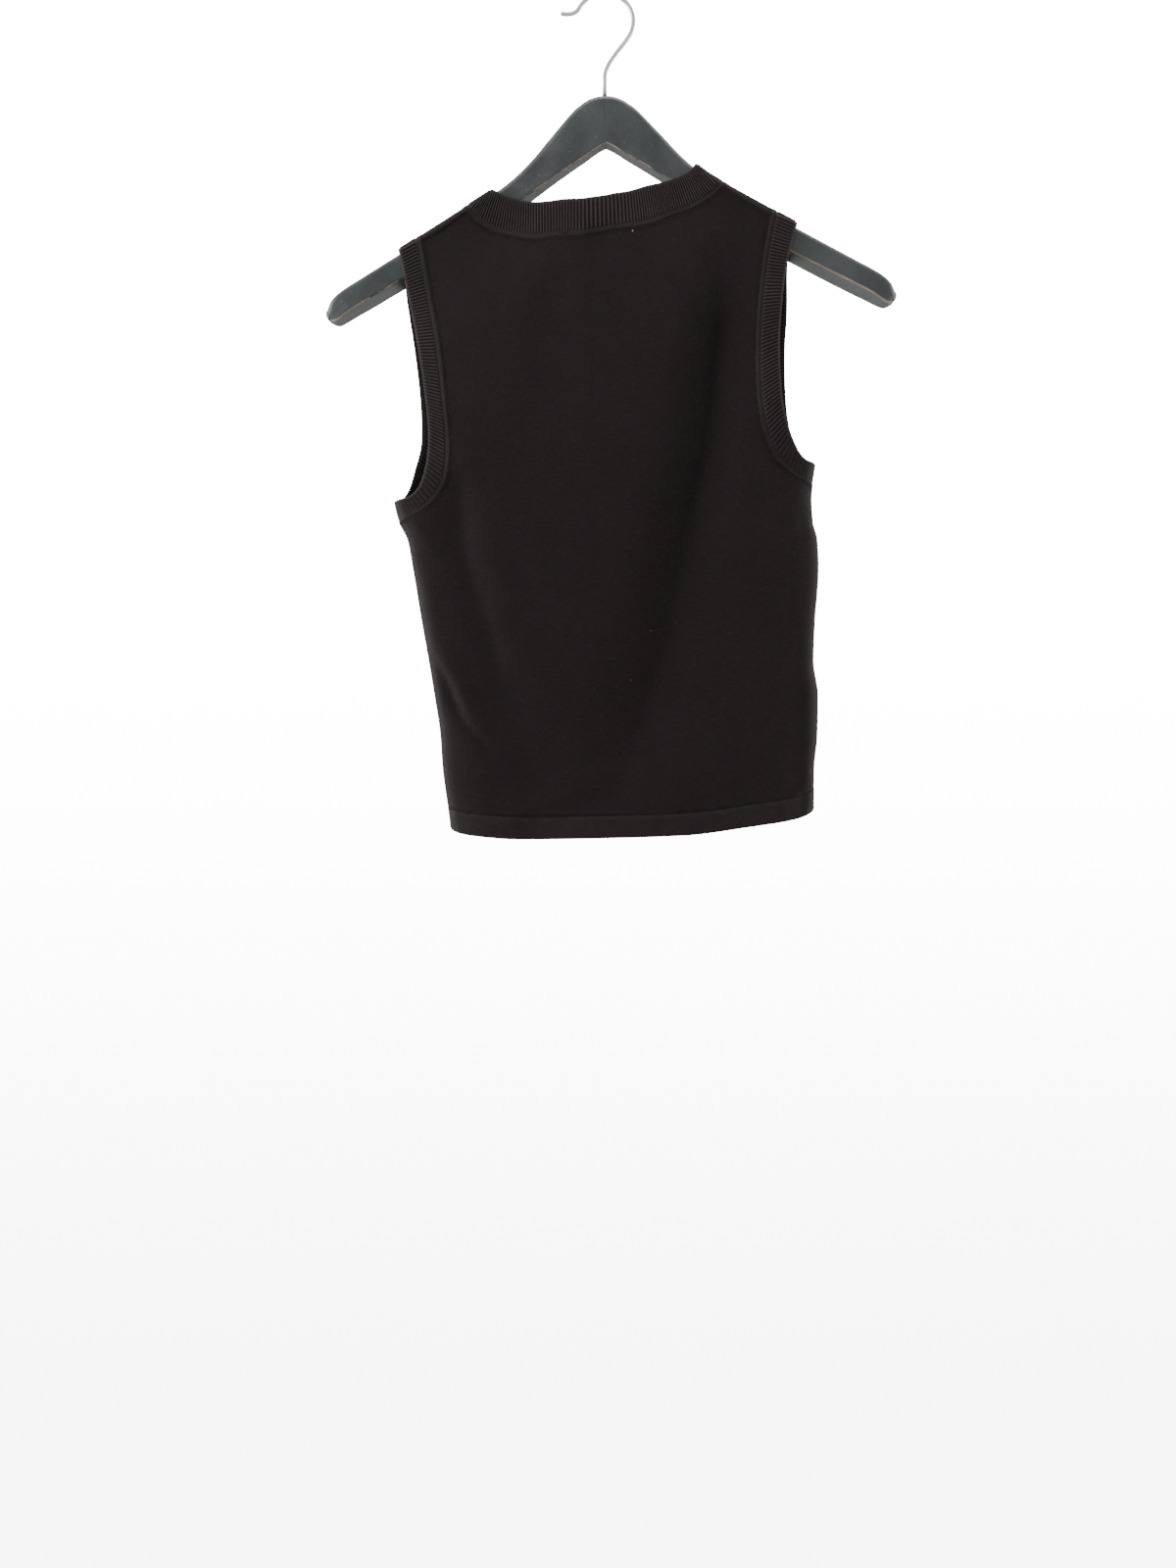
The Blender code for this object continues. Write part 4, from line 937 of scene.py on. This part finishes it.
ARM_EDGE = {-1: table("x z out", [
    (-160.2, None, 0), (-156, -215, 1), (-153, -231, 3), (-144, -275.4, 5), (-138, -314, 6),
    (-135, -344, 7), (-136, -366, 9), (-141, -384, 8), (-148, -392.5, 6), (-157, -394.8, 3),
    (None, -394.5, 0),
]), 1: table("x z out", [
    (149.5, None, 0), (144, -197.3, 1), (140, -214, 4), (136.2, -242, 8), (133.7, -276, 9),
    (135, -313.6, 9), (139.6, -338.4, 8), (147, -357, 6), (153, -364, 4), (158, -365.6, 2),
    (None, -365.5, 0),
])}
ARM_EDGE_BEYOND = {-1: table("x z out", [
    (-160.2, None, 0), (-156, -215, 1), (-153, -231, 3), (-144.5, -275.4, 5), (-139.5, -314, 6),
    (-138, -344, 7), (-140.5, -364, 9), (-145.5, -379, 8), (-151, -387, 6), (-158, -391.5, 3),
    (None, -394.5, 0),
]), 1: ARM_EDGE[1]}
rib = knit_material("Fine rib knit, brown black", (0.0142, 0.0107, 0.0112, 1), (0.0650, 0.0512, 0.0525, 1),
                    RIB_PITCH / 2 * MM, COURSE, 0.00016, stitch_tone_and_gap_shade=0.2)


def both_halves(back_rows, front_rows, hand=0):
    """A band's line in two halves, back and front, that follow one another."""
    back = spline(face_points(back_rows, "back", hand), SEAM_STEPS)
    front = spline(face_points(front_rows, "front", hand), SEAM_STEPS)
    return (back, front[::-1]) if not hand else (back[::-1], front)


def rib_band(name, node, seam_halves, edge_halves, pitch, strip, shade, glint, calm=0.0, fan=((0, 0), (1, 1))):
    """A rib band between its seam and its free edge.

    strip is the width of the plain strip at the seam, shade is the painted shade
    on the strip and glint the painted highlight on the free edge; calm flattens
    the ribs near the underarm and paints shade there, and fan shares the ribs out
    along the back of the edge.
    """
    seam = []
    edge = []
    for seam_half, edge_half, bend in zip(seam_halves, edge_halves, (fan, ((0, 0), (1, 1)))):
        count = round((lengths(seam_half)[-1] + lengths(edge_half)[-1]) / 2 / pitch) * RIB_POINTS
        shares = np.arange(count) / count
        seam.append(resample(seam_half, shares))
        edge.append(resample(edge_half, np.interp(shares, *np.transpose(bend))))
    seam = np.vstack(seam)
    edge = np.vstack(edge)
    columns = len(seam)
    along = np.arange(columns + 1) / RIB_POINTS * RIB_PITCH
    phase = 2 * math.pi * (np.arange(columns) / RIB_POINTS - 0.25)
    from_start = np.minimum(np.arange(columns), columns - np.arange(columns)) / RIB_POINTS
    standing = 1 - calm * ease(1.2 - from_start / 24)
    width = float(np.mean(np.linalg.norm(on_cloth(*edge.T) - on_cloth(*seam.T), axis=1))) / MM
    inward = [(0.0, 0.2), (0.15, 0.7), (0.5, 0.98), (strip * 0.3, 1.12), (strip * 0.6, 1.12),
              (strip - 0.9, 1.0), (strip - 0.35, 0.8), (strip, 0.72), (strip + 0.4, 0.84), (strip + 1.0, 0.95)]
    inward += [(d, BAND_HALF) for d in np.linspace(strip + 2.5, width - 2.6, 7)]
    inward += [(width - 1.9, 0.92), (width - 1.5, 0.8), (width - 1.1, 0.98), (width - 0.5, 0.95),
               (width - 0.12, 0.6), (width, 0.2)]
    places = []
    flats = []
    painted_light_and_shade_rows = []
    for side, profile in ((1, inward), (-1, inward[::-1])):
        for d, half in profile:
            share = d / width
            row = seam + (edge - seam) * share
            ribbed = ease((d - strip) / 1.4) * ease((width - 1.3 - d) / 0.9)
            rising = ribbed * standing
            crest = (0.5 + 0.5 * np.cos(phase if side > 0 else phase + math.pi)) ** 0.8
            lift = side * (half + RIB_RISE * rising * (crest - 0.3))
            places.append(lifted(row, lift))
            # Painted shade: dark lines along the seam and where the ribs start, and the plain strip darkened.
            shadow = 0.5 * np.exp(-(d / 0.5) ** 2) + 0.4 * np.exp(-((d - strip) / 0.5) ** 2)
            shadow += shade * ease((strip - d) / 0.8)
            # Painted highlight: a light line along the free edge.
            shadow -= glint * np.exp(-((width - 0.7 - d) / 0.8) ** 2)
            # Painted shade where the ribs are flattened, on average as dark as the grooves' painted shade.
            shadow = shadow + (0.4 + 0.5 * ribbed) * (1 - standing)
            # Painted shade in the troughs between the ribs, added to the painted lines above.
            painted_light_and_shade_rows.append(rising * (1.25 * (1 - crest) - 0.3 * crest ** 2) + shadow)
            ahead = along + (0 if side > 0 else RIB_PITCH / 2)
            flats.append(np.stack([ahead, np.full(columns + 1, d)], axis=1))
    piece = woven_grid(name, np.array(places), np.array(flats), rib, closed=True)
    mark_points(piece.data, "groove", painted_light_and_shade_rows)
    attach(piece, "root")
    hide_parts(node)
    return piece


NECK_FAN = [(0, 0), (0.094, 0.03), (0.19, 0.112), (0.29, 0.223), (0.385, 0.35), (0.5, 0.5), (0.594, 0.615),
            (0.743, 0.778), (0.85, 0.89), (0.92, 0.95), (1, 1)]
neckband = rib_band("neckband_rib", "neckband", both_halves(NECK_SEAM_BACK, NECK_SEAM_FRONT),
                    both_halves(NECK_EDGE_BACK, NECK_EDGE_FRONT), 2.95, 4.2, 0.6, 0.3, fan=NECK_FAN)
for hand, side in ((-1, "left"), (1, "right")):
    seam = both_halves(ARM_SEAM[hand], ARM_SEAM[hand], hand)
    edge = both_halves(ARM_EDGE[hand], ARM_EDGE_BEYOND[hand], hand)
    rib_band("armband_" + side + "_rib", "armband_" + side, seam, edge,
                              2.88, 4.6, 0.4, 2.2, calm=0.8)


# ---- Linking seams -------------------------------------------------------
# The panels and bands are linked loop by loop with the garment's own yarn.
# It shows as a row of small slanted stitches beside each seam, a raised welt
# along each shoulder, and a few turns of thread at the middle of the neck.
thread, tree, shader, add = painter("Linking yarn, brown black")
place = add("ShaderNodeTexCoord").outputs["Object"]
fibre = noise(add, place, 900.0, 2.0)
yarn_colour = mixed(add, fibre, (0.0120, 0.0090, 0.0095, 1), (0.0340, 0.0265, 0.0275, 1))
tree.links.new(yarn_colour, shader.inputs["Base Color"])
shader.inputs["Roughness"].default_value = 0.88
shader.inputs["Specular IOR Level"].default_value = 0.25
raised(tree, shader, add, fibre, 0.4, 0.0001)

stitches = bpy.data.node_groups.new("Linked stitches", "GeometryNodeTree")
stitches.interface.new_socket("Geometry", in_out="OUTPUT", socket_type="NodeSocketGeometry")
stitches.interface.new_socket("Geometry", in_out="INPUT", socket_type="NodeSocketGeometry")
STITCH_INPUTS = {}
STITCH_SIZES = dict(Pitch=0.00145, Length=0.0016, Thread=0.0006, Slant=0.6, Uneven=0.15)
for name, value in STITCH_SIZES.items():
    socket = stitches.interface.new_socket(name, in_out="INPUT", socket_type="NodeSocketFloat")
    socket.default_value = value
    STITCH_INPUTS[name] = socket.identifier
socket = stitches.interface.new_socket("Yarn", in_out="INPUT", socket_type="NodeSocketMaterial")
STITCH_INPUTS["Yarn"] = socket.identifier
add = adder(stitches)
given = add("NodeGroupInput").outputs
route = add("GeometryNodeMeshToCurve", {"Mesh": given["Geometry"]}).outputs[0]
spaced = add("GeometryNodeResampleCurve", {"Curve": route, "Length": given["Pitch"]}, mode="LENGTH").outputs[0]
heading = add("GeometryNodeInputTangent").outputs[0]
outward = add("GeometryNodeInputNamedAttribute", {"Name": "out"}, data_type="FLOAT_VECTOR").outputs[0]
lined = add("FunctionNodeAlignRotationToVector", {"Vector": heading}, axis="X").outputs[0]
faced = add("FunctionNodeAlignRotationToVector", {"Rotation": lined, "Vector": outward},
            axis="Z", pivot_axis="X").outputs[0]
wobble = add("FunctionNodeRandomValue", {2: -1.0, 3: 1.0, "Seed": 7}, data_type="FLOAT").outputs[1]
lean = math_node(add, "MULTIPLY_ADD", wobble, given["Uneven"], given["Slant"])
lean = add("ShaderNodeCombineXYZ", {2: lean}).outputs[0]
turned = add("FunctionNodeRotateRotation", {"Rotation": faced, "Rotate By": lean},
             rotation_space="LOCAL").outputs[0]
bead = add("GeometryNodeMeshUVSphere", {"Segments": 7, "Rings": 5, "Radius": 0.5}).outputs[0]
shape = add("ShaderNodeCombineXYZ", {0: given["Length"], 1: given["Thread"], 2: given["Thread"]}).outputs[0]
placed = add("GeometryNodeInstanceOnPoints",
             {"Points": spaced, "Instance": bead, "Rotation": turned, "Scale": shape}).outputs[0]
real = add("GeometryNodeRealizeInstances", {"Geometry": placed}).outputs[0]
smooth = add("GeometryNodeSetShadeSmooth", {0: real}).outputs[0]
yarned = add("GeometryNodeSetMaterial", {"Geometry": smooth, "Material": given["Yarn"]}).outputs[0]
add("NodeGroupOutput", {"Geometry": yarned})


def stitched(name, runs, lift, slot, **sizes):
    """Stitches along runs of (across, down) points, lifted off the cloth's middle."""
    mesh = bpy.data.meshes.new(name)
    verts = []
    outs = []
    edges = []
    for run in runs:
        run = resample(run, np.linspace(0, 1, max(3, int(lengths(run)[-1] / 1.2))))
        start = len(verts)
        verts += [tuple(v) for v in lifted(run, np.full(len(run), lift))]
        outs += [tuple(v) for v in out_of_cloth(run[:, 0], run[:, 1])]
        edges += [(start + k, start + k + 1) for k in range(len(run) - 1)]
    mesh.from_pydata(verts, edges, [])
    mark_points(mesh, "out", outs, "FLOAT_VECTOR")
    piece = in_scene(name, mesh)
    sewing = piece.modifiers.new("Stitches", "NODES")
    sewing.node_group = stitches
    for key, value in sizes.items():
        sewing[STITCH_INPUTS[key]] = value
    sewing[STITCH_INPUTS["Yarn"]] = thread
    applied(piece)
    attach(piece, "root")


SEAM_AT_ARM = 12.0
SEAM_AT_NECK = 10.5
WELT_REACH = 5.0
WELT_RISE = 0.6


def shoulder_run(hand):
    """The shoulder seam of one side, on the back, from the armhole to the neck."""
    arm = arm_line(hand, "back")
    arm = arm[np.argmin(np.abs(arm[:, 1] - SEAM_AT_ARM))]
    neck = neck_line("back")
    neck = neck[:len(neck) // 3] if hand < 0 else neck[-len(neck) // 3:]
    neck = neck[np.argmin(np.abs(neck[:, 1] - SEAM_AT_NECK))]
    shares = np.linspace(0, 1, 60)[:, None]
    return arm + (neck - arm) * shares + [0.0, 1.0] * np.sin(math.pi * shares)


def welt(name, run, reach, rise):
    """A soft raised ridge along a seam, from a run of points."""
    run = resample(run, np.linspace(0, 1, max(3, int(lengths(run)[-1] / 1.5))))
    profile = [(-reach, 0.35), (-reach * 0.85, 0.6), (-reach * 0.5, 0.62 + rise * 0.45),
               (-reach * 0.1, 0.62 + rise * 0.85), (reach * 0.2, 0.62 + rise),
               (reach * 0.38, 0.62 + rise * 0.7), (reach * 0.45, 0.35), (0, 0.2)]
    places = []
    flats = []
    for offset, lift in profile:
        row = run + [0.0, offset]
        uneven = 0.08 * np.sin(run[:, 0] * 2.1) * (lift > 0.5)
        places.append(lifted(row, lift + uneven))
        flats.append(np.stack([run[:, 0], row[:, 1]], axis=1))
    piece = woven_grid(name, np.array(places)[::-1], np.array(flats)[::-1], knit)
    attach(piece, "root")


for hand, side in ((-1, "left"), (1, "right")):
    run = shoulder_run(hand)
    welt("shoulder_welt_" + side, run if hand < 0 else run[::-1], WELT_REACH, WELT_RISE)
    stitched("shoulder_stitches_" + side, [run + [0, 2.4]], 0.62, "knit",
             Pitch=0.0019, Length=0.0020, Thread=0.0005, Slant=1.57)
    arm = [arm_line(hand, "back"), arm_line(hand, "front")]
    inner = [beside(run, hand * 0.5 * sign) for run, sign in zip(arm, (1, -1))]
    stitched("armhole_stitches_" + side, inner, 0.8, "rib", Slant=0.75 * hand, Length=0.0017, Thread=0.00055)
    sides = [side_line("back", hand, arm_line(hand, "back")[-1], HEM_TALL)]
    stitched("side_seam_" + side, sides, 0.72, "knit", Pitch=0.0013, Length=0.0014, Thread=0.0006, Slant=0.9)
neck = [beside(neck_line("back"), 0.5), beside(neck_line("front"), -0.5)]
stitched("neck_stitches", neck, 0.8, "rib", Slant=0.75, Length=0.0017, Thread=0.00055)
for face in ("back", "front"):
    row = hem_row(face, HEM_TALL + 0.3, np.linspace(0.01, 0.99, 200))
    stitched("hem_stitches_" + face, [row], 0.8, "knit",
             Pitch=0.00145, Length=0.00135, Thread=0.0005, Slant=0.5)

# The yarn of the neck seam ends in a few turns left of the middle, and the
# knit carries three specks of pale lint.
KNOT = [dict(x=-34.5, z=-190.6), dict(x=-31.7, z=-192.5), dict(x=-29.6, z=-191.0)]
knot = np.array(face_points(KNOT, "back"))
stitched("neck_tack", [knot, knot + [0.6, 1.0]], 1.05, "rib",
         Pitch=0.0008, Length=0.0026, Thread=0.0007, Slant=1.2, Uneven=0.6)
fluff, tree, shader, add = painter("Pale lint")
place = add("ShaderNodeTexCoord").outputs["Object"]
strand = noise(add, place, 2600.0, 2.0)
tree.links.new(mixed(add, strand, (0.30, 0.29, 0.28, 1), (0.75, 0.74, 0.72, 1)), shader.inputs["Base Color"])
shader.inputs["Roughness"].default_value = 0.9
corners = []
faces = []
LINT = [(21.2, -190.2, 0.75), (35.2, -497.0, 0.26), (19.4, -534.8, 0.3)]
ball = [(0, 0, 1)] + [(math.cos(a) * 0.87, math.sin(a) * 0.87, h) for h in (0.5, -0.5)
                      for a in np.arange(6) * math.pi / 3] + [(0, 0, -1)]
for x, z, size in LINT:
    spot = np.array(face_points([dict(x=x, z=z)], "back"))
    middle = lifted(spot, 0.85)[0]
    start = len(corners)
    for k, spoke in enumerate(ball):
        corners.append(tuple(middle + np.array(spoke) * size * MM * (0.8 + 0.35 * math.sin(k * 2.3 + x))))
    for k in range(6):
        beyond = (k + 1) % 6
        faces += [(start, start + 1 + k, start + 1 + beyond),
                  (start + 1 + k, start + 7 + k, start + 7 + beyond, start + 1 + beyond),
                  (start + 13, start + 7 + beyond, start + 7 + k)]
lint = new_piece("lint", np.array(corners), faces, fluff)
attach(lint, "root")


# ---- Studio --------------------------------------------------------------
# A plain pale floor that turns up into a pale wall, white to the camera and
# fading a little toward the floor.  Soft light comes from both sides and
# above, and the camera is level with the middle of the garment.
FLOOR = -1.75
BEND_FROM = 1.4
BEND = 0.8
PAPER_HALF = 4.5
PAPER_WHITE = 17.0
PAPER_LOW = 7.0
AIR = 0.19
AIR_IN_GLOSS = 0.8
sweep = [(-4.0, FLOOR), (BEND_FROM, FLOOR)]
for turn in np.radians(np.arange(9, 91, 9)):
    sweep.append((BEND_FROM + BEND * math.sin(turn), FLOOR + BEND * (1 - math.cos(turn))))
sweep.append((2.2, 3.2))
stage_verts = []
for y, z in sweep:
    stage_verts += [(-PAPER_HALF, y, z), (PAPER_HALF, y, z)]
stage_faces = [(2 * k, 2 * k + 1, 2 * k + 3, 2 * k + 2) for k in range(len(sweep) - 1)]
pale, tree, shader, add = painter("Pale studio paper")
place = add("ShaderNodeTexCoord").outputs["Object"]
paper = mixed(add, noise(add, place, 0.8, 2.0), (0.88, 0.88, 0.875, 1), (0.92, 0.92, 0.915, 1))
tree.links.new(paper, shader.inputs["Base Color"])
shader.inputs["Roughness"].default_value = 0.9
light_path = add("ShaderNodeLightPath").outputs
spot = add("ShaderNodeSeparateXYZ", {0: place}).outputs
fading = ramp(add, spot[2], -1.9, 0.1, PAPER_LOW, PAPER_WHITE, "SMOOTHSTEP")
reach = math_node(add, "MULTIPLY_ADD", spot[0], spot[0], math_node(add, "MULTIPLY", spot[1], spot[1]))
beyond = ramp(add, math_node(add, "SQRT", reach), 2.6, 3.9, 0.0, PAPER_WHITE, "SMOOTHSTEP")
strength = math_node(add, "MAXIMUM", fading, beyond)
strength = math_node(add, "MULTIPLY_ADD", strength, light_path["Is Camera Ray"], 0.8)
glow = add("ShaderNodeEmission", {"Color": (1.0, 1.0, 0.995, 1), "Strength": strength}).outputs[0]
seen = math_node(add, "MAXIMUM", light_path["Is Camera Ray"], light_path["Is Glossy Ray"])
both_ways = add("ShaderNodeMixShader", {0: seen, 1: shader.outputs[0], 2: glow}).outputs[0]
tree.links.new(both_ways, tree.nodes["Material Output"].inputs["Surface"])
studio = new_piece("studio_sweep", stage_verts, stage_faces, pale)

world = bpy.data.worlds.new("Studio air")
bpy.context.scene.world = world
world.use_nodes = True
air = world.node_tree.nodes["Background"]
air.inputs[0].default_value = (1.0, 1.0, 0.995, 1)
add = adder(world.node_tree)
light_path = add("ShaderNodeLightPath").outputs
bright = AIR
for ray, brightness in (("Is Glossy Ray", AIR_IN_GLOSS), ("Is Camera Ray", PAPER_WHITE)):
    bright = ramp(add, light_path[ray], 0.0, 1.0, bright, brightness)
world.node_tree.links.new(bright, air.inputs[1])


def soft_light(name, place, aim, size, power):
    """A rectangular light at a place, turned to its aim."""
    light = bpy.data.lights.new(name, "AREA")
    light.shape = "RECTANGLE"
    light.size, light.size_y = size
    light.energy = power
    holder = in_scene(name, light)
    holder.location = place
    holder.rotation_mode = "QUATERNION"
    holder.rotation_quaternion = (Vector(place) - Vector(aim)).to_track_quat("Z", "Y")


soft_light("key_left", (-2.4, -0.62, 0.15), (0, 0, -0.4), (0.8, 1.6), 73)
soft_light("top", (0.1, -0.1, 1.3), (0, 0, -0.3), (1.8, 0.9), 29)
soft_light("edge_right", (2.5, -0.1, 0.1), (0, 0, -0.4), (0.9, 1.8), 44)
soft_light("back_left", (-1.8, 1.6, 0.2), (0, 0, -0.4), (1.2, 1.6), 30)
soft_light("back_right", (1.9, 1.5, 0.2), (0, 0, -0.4), (1.2, 1.6), 14)

lens = bpy.data.cameras.new("camera")
lens.lens = 35.4
lens.sensor_width = 36.0
camera = in_scene("camera", lens)
camera.location = (-0.013, -1.2, -0.614)
camera.rotation_euler = (math.pi / 2, 0, 0)
bpy.context.scene.camera = camera
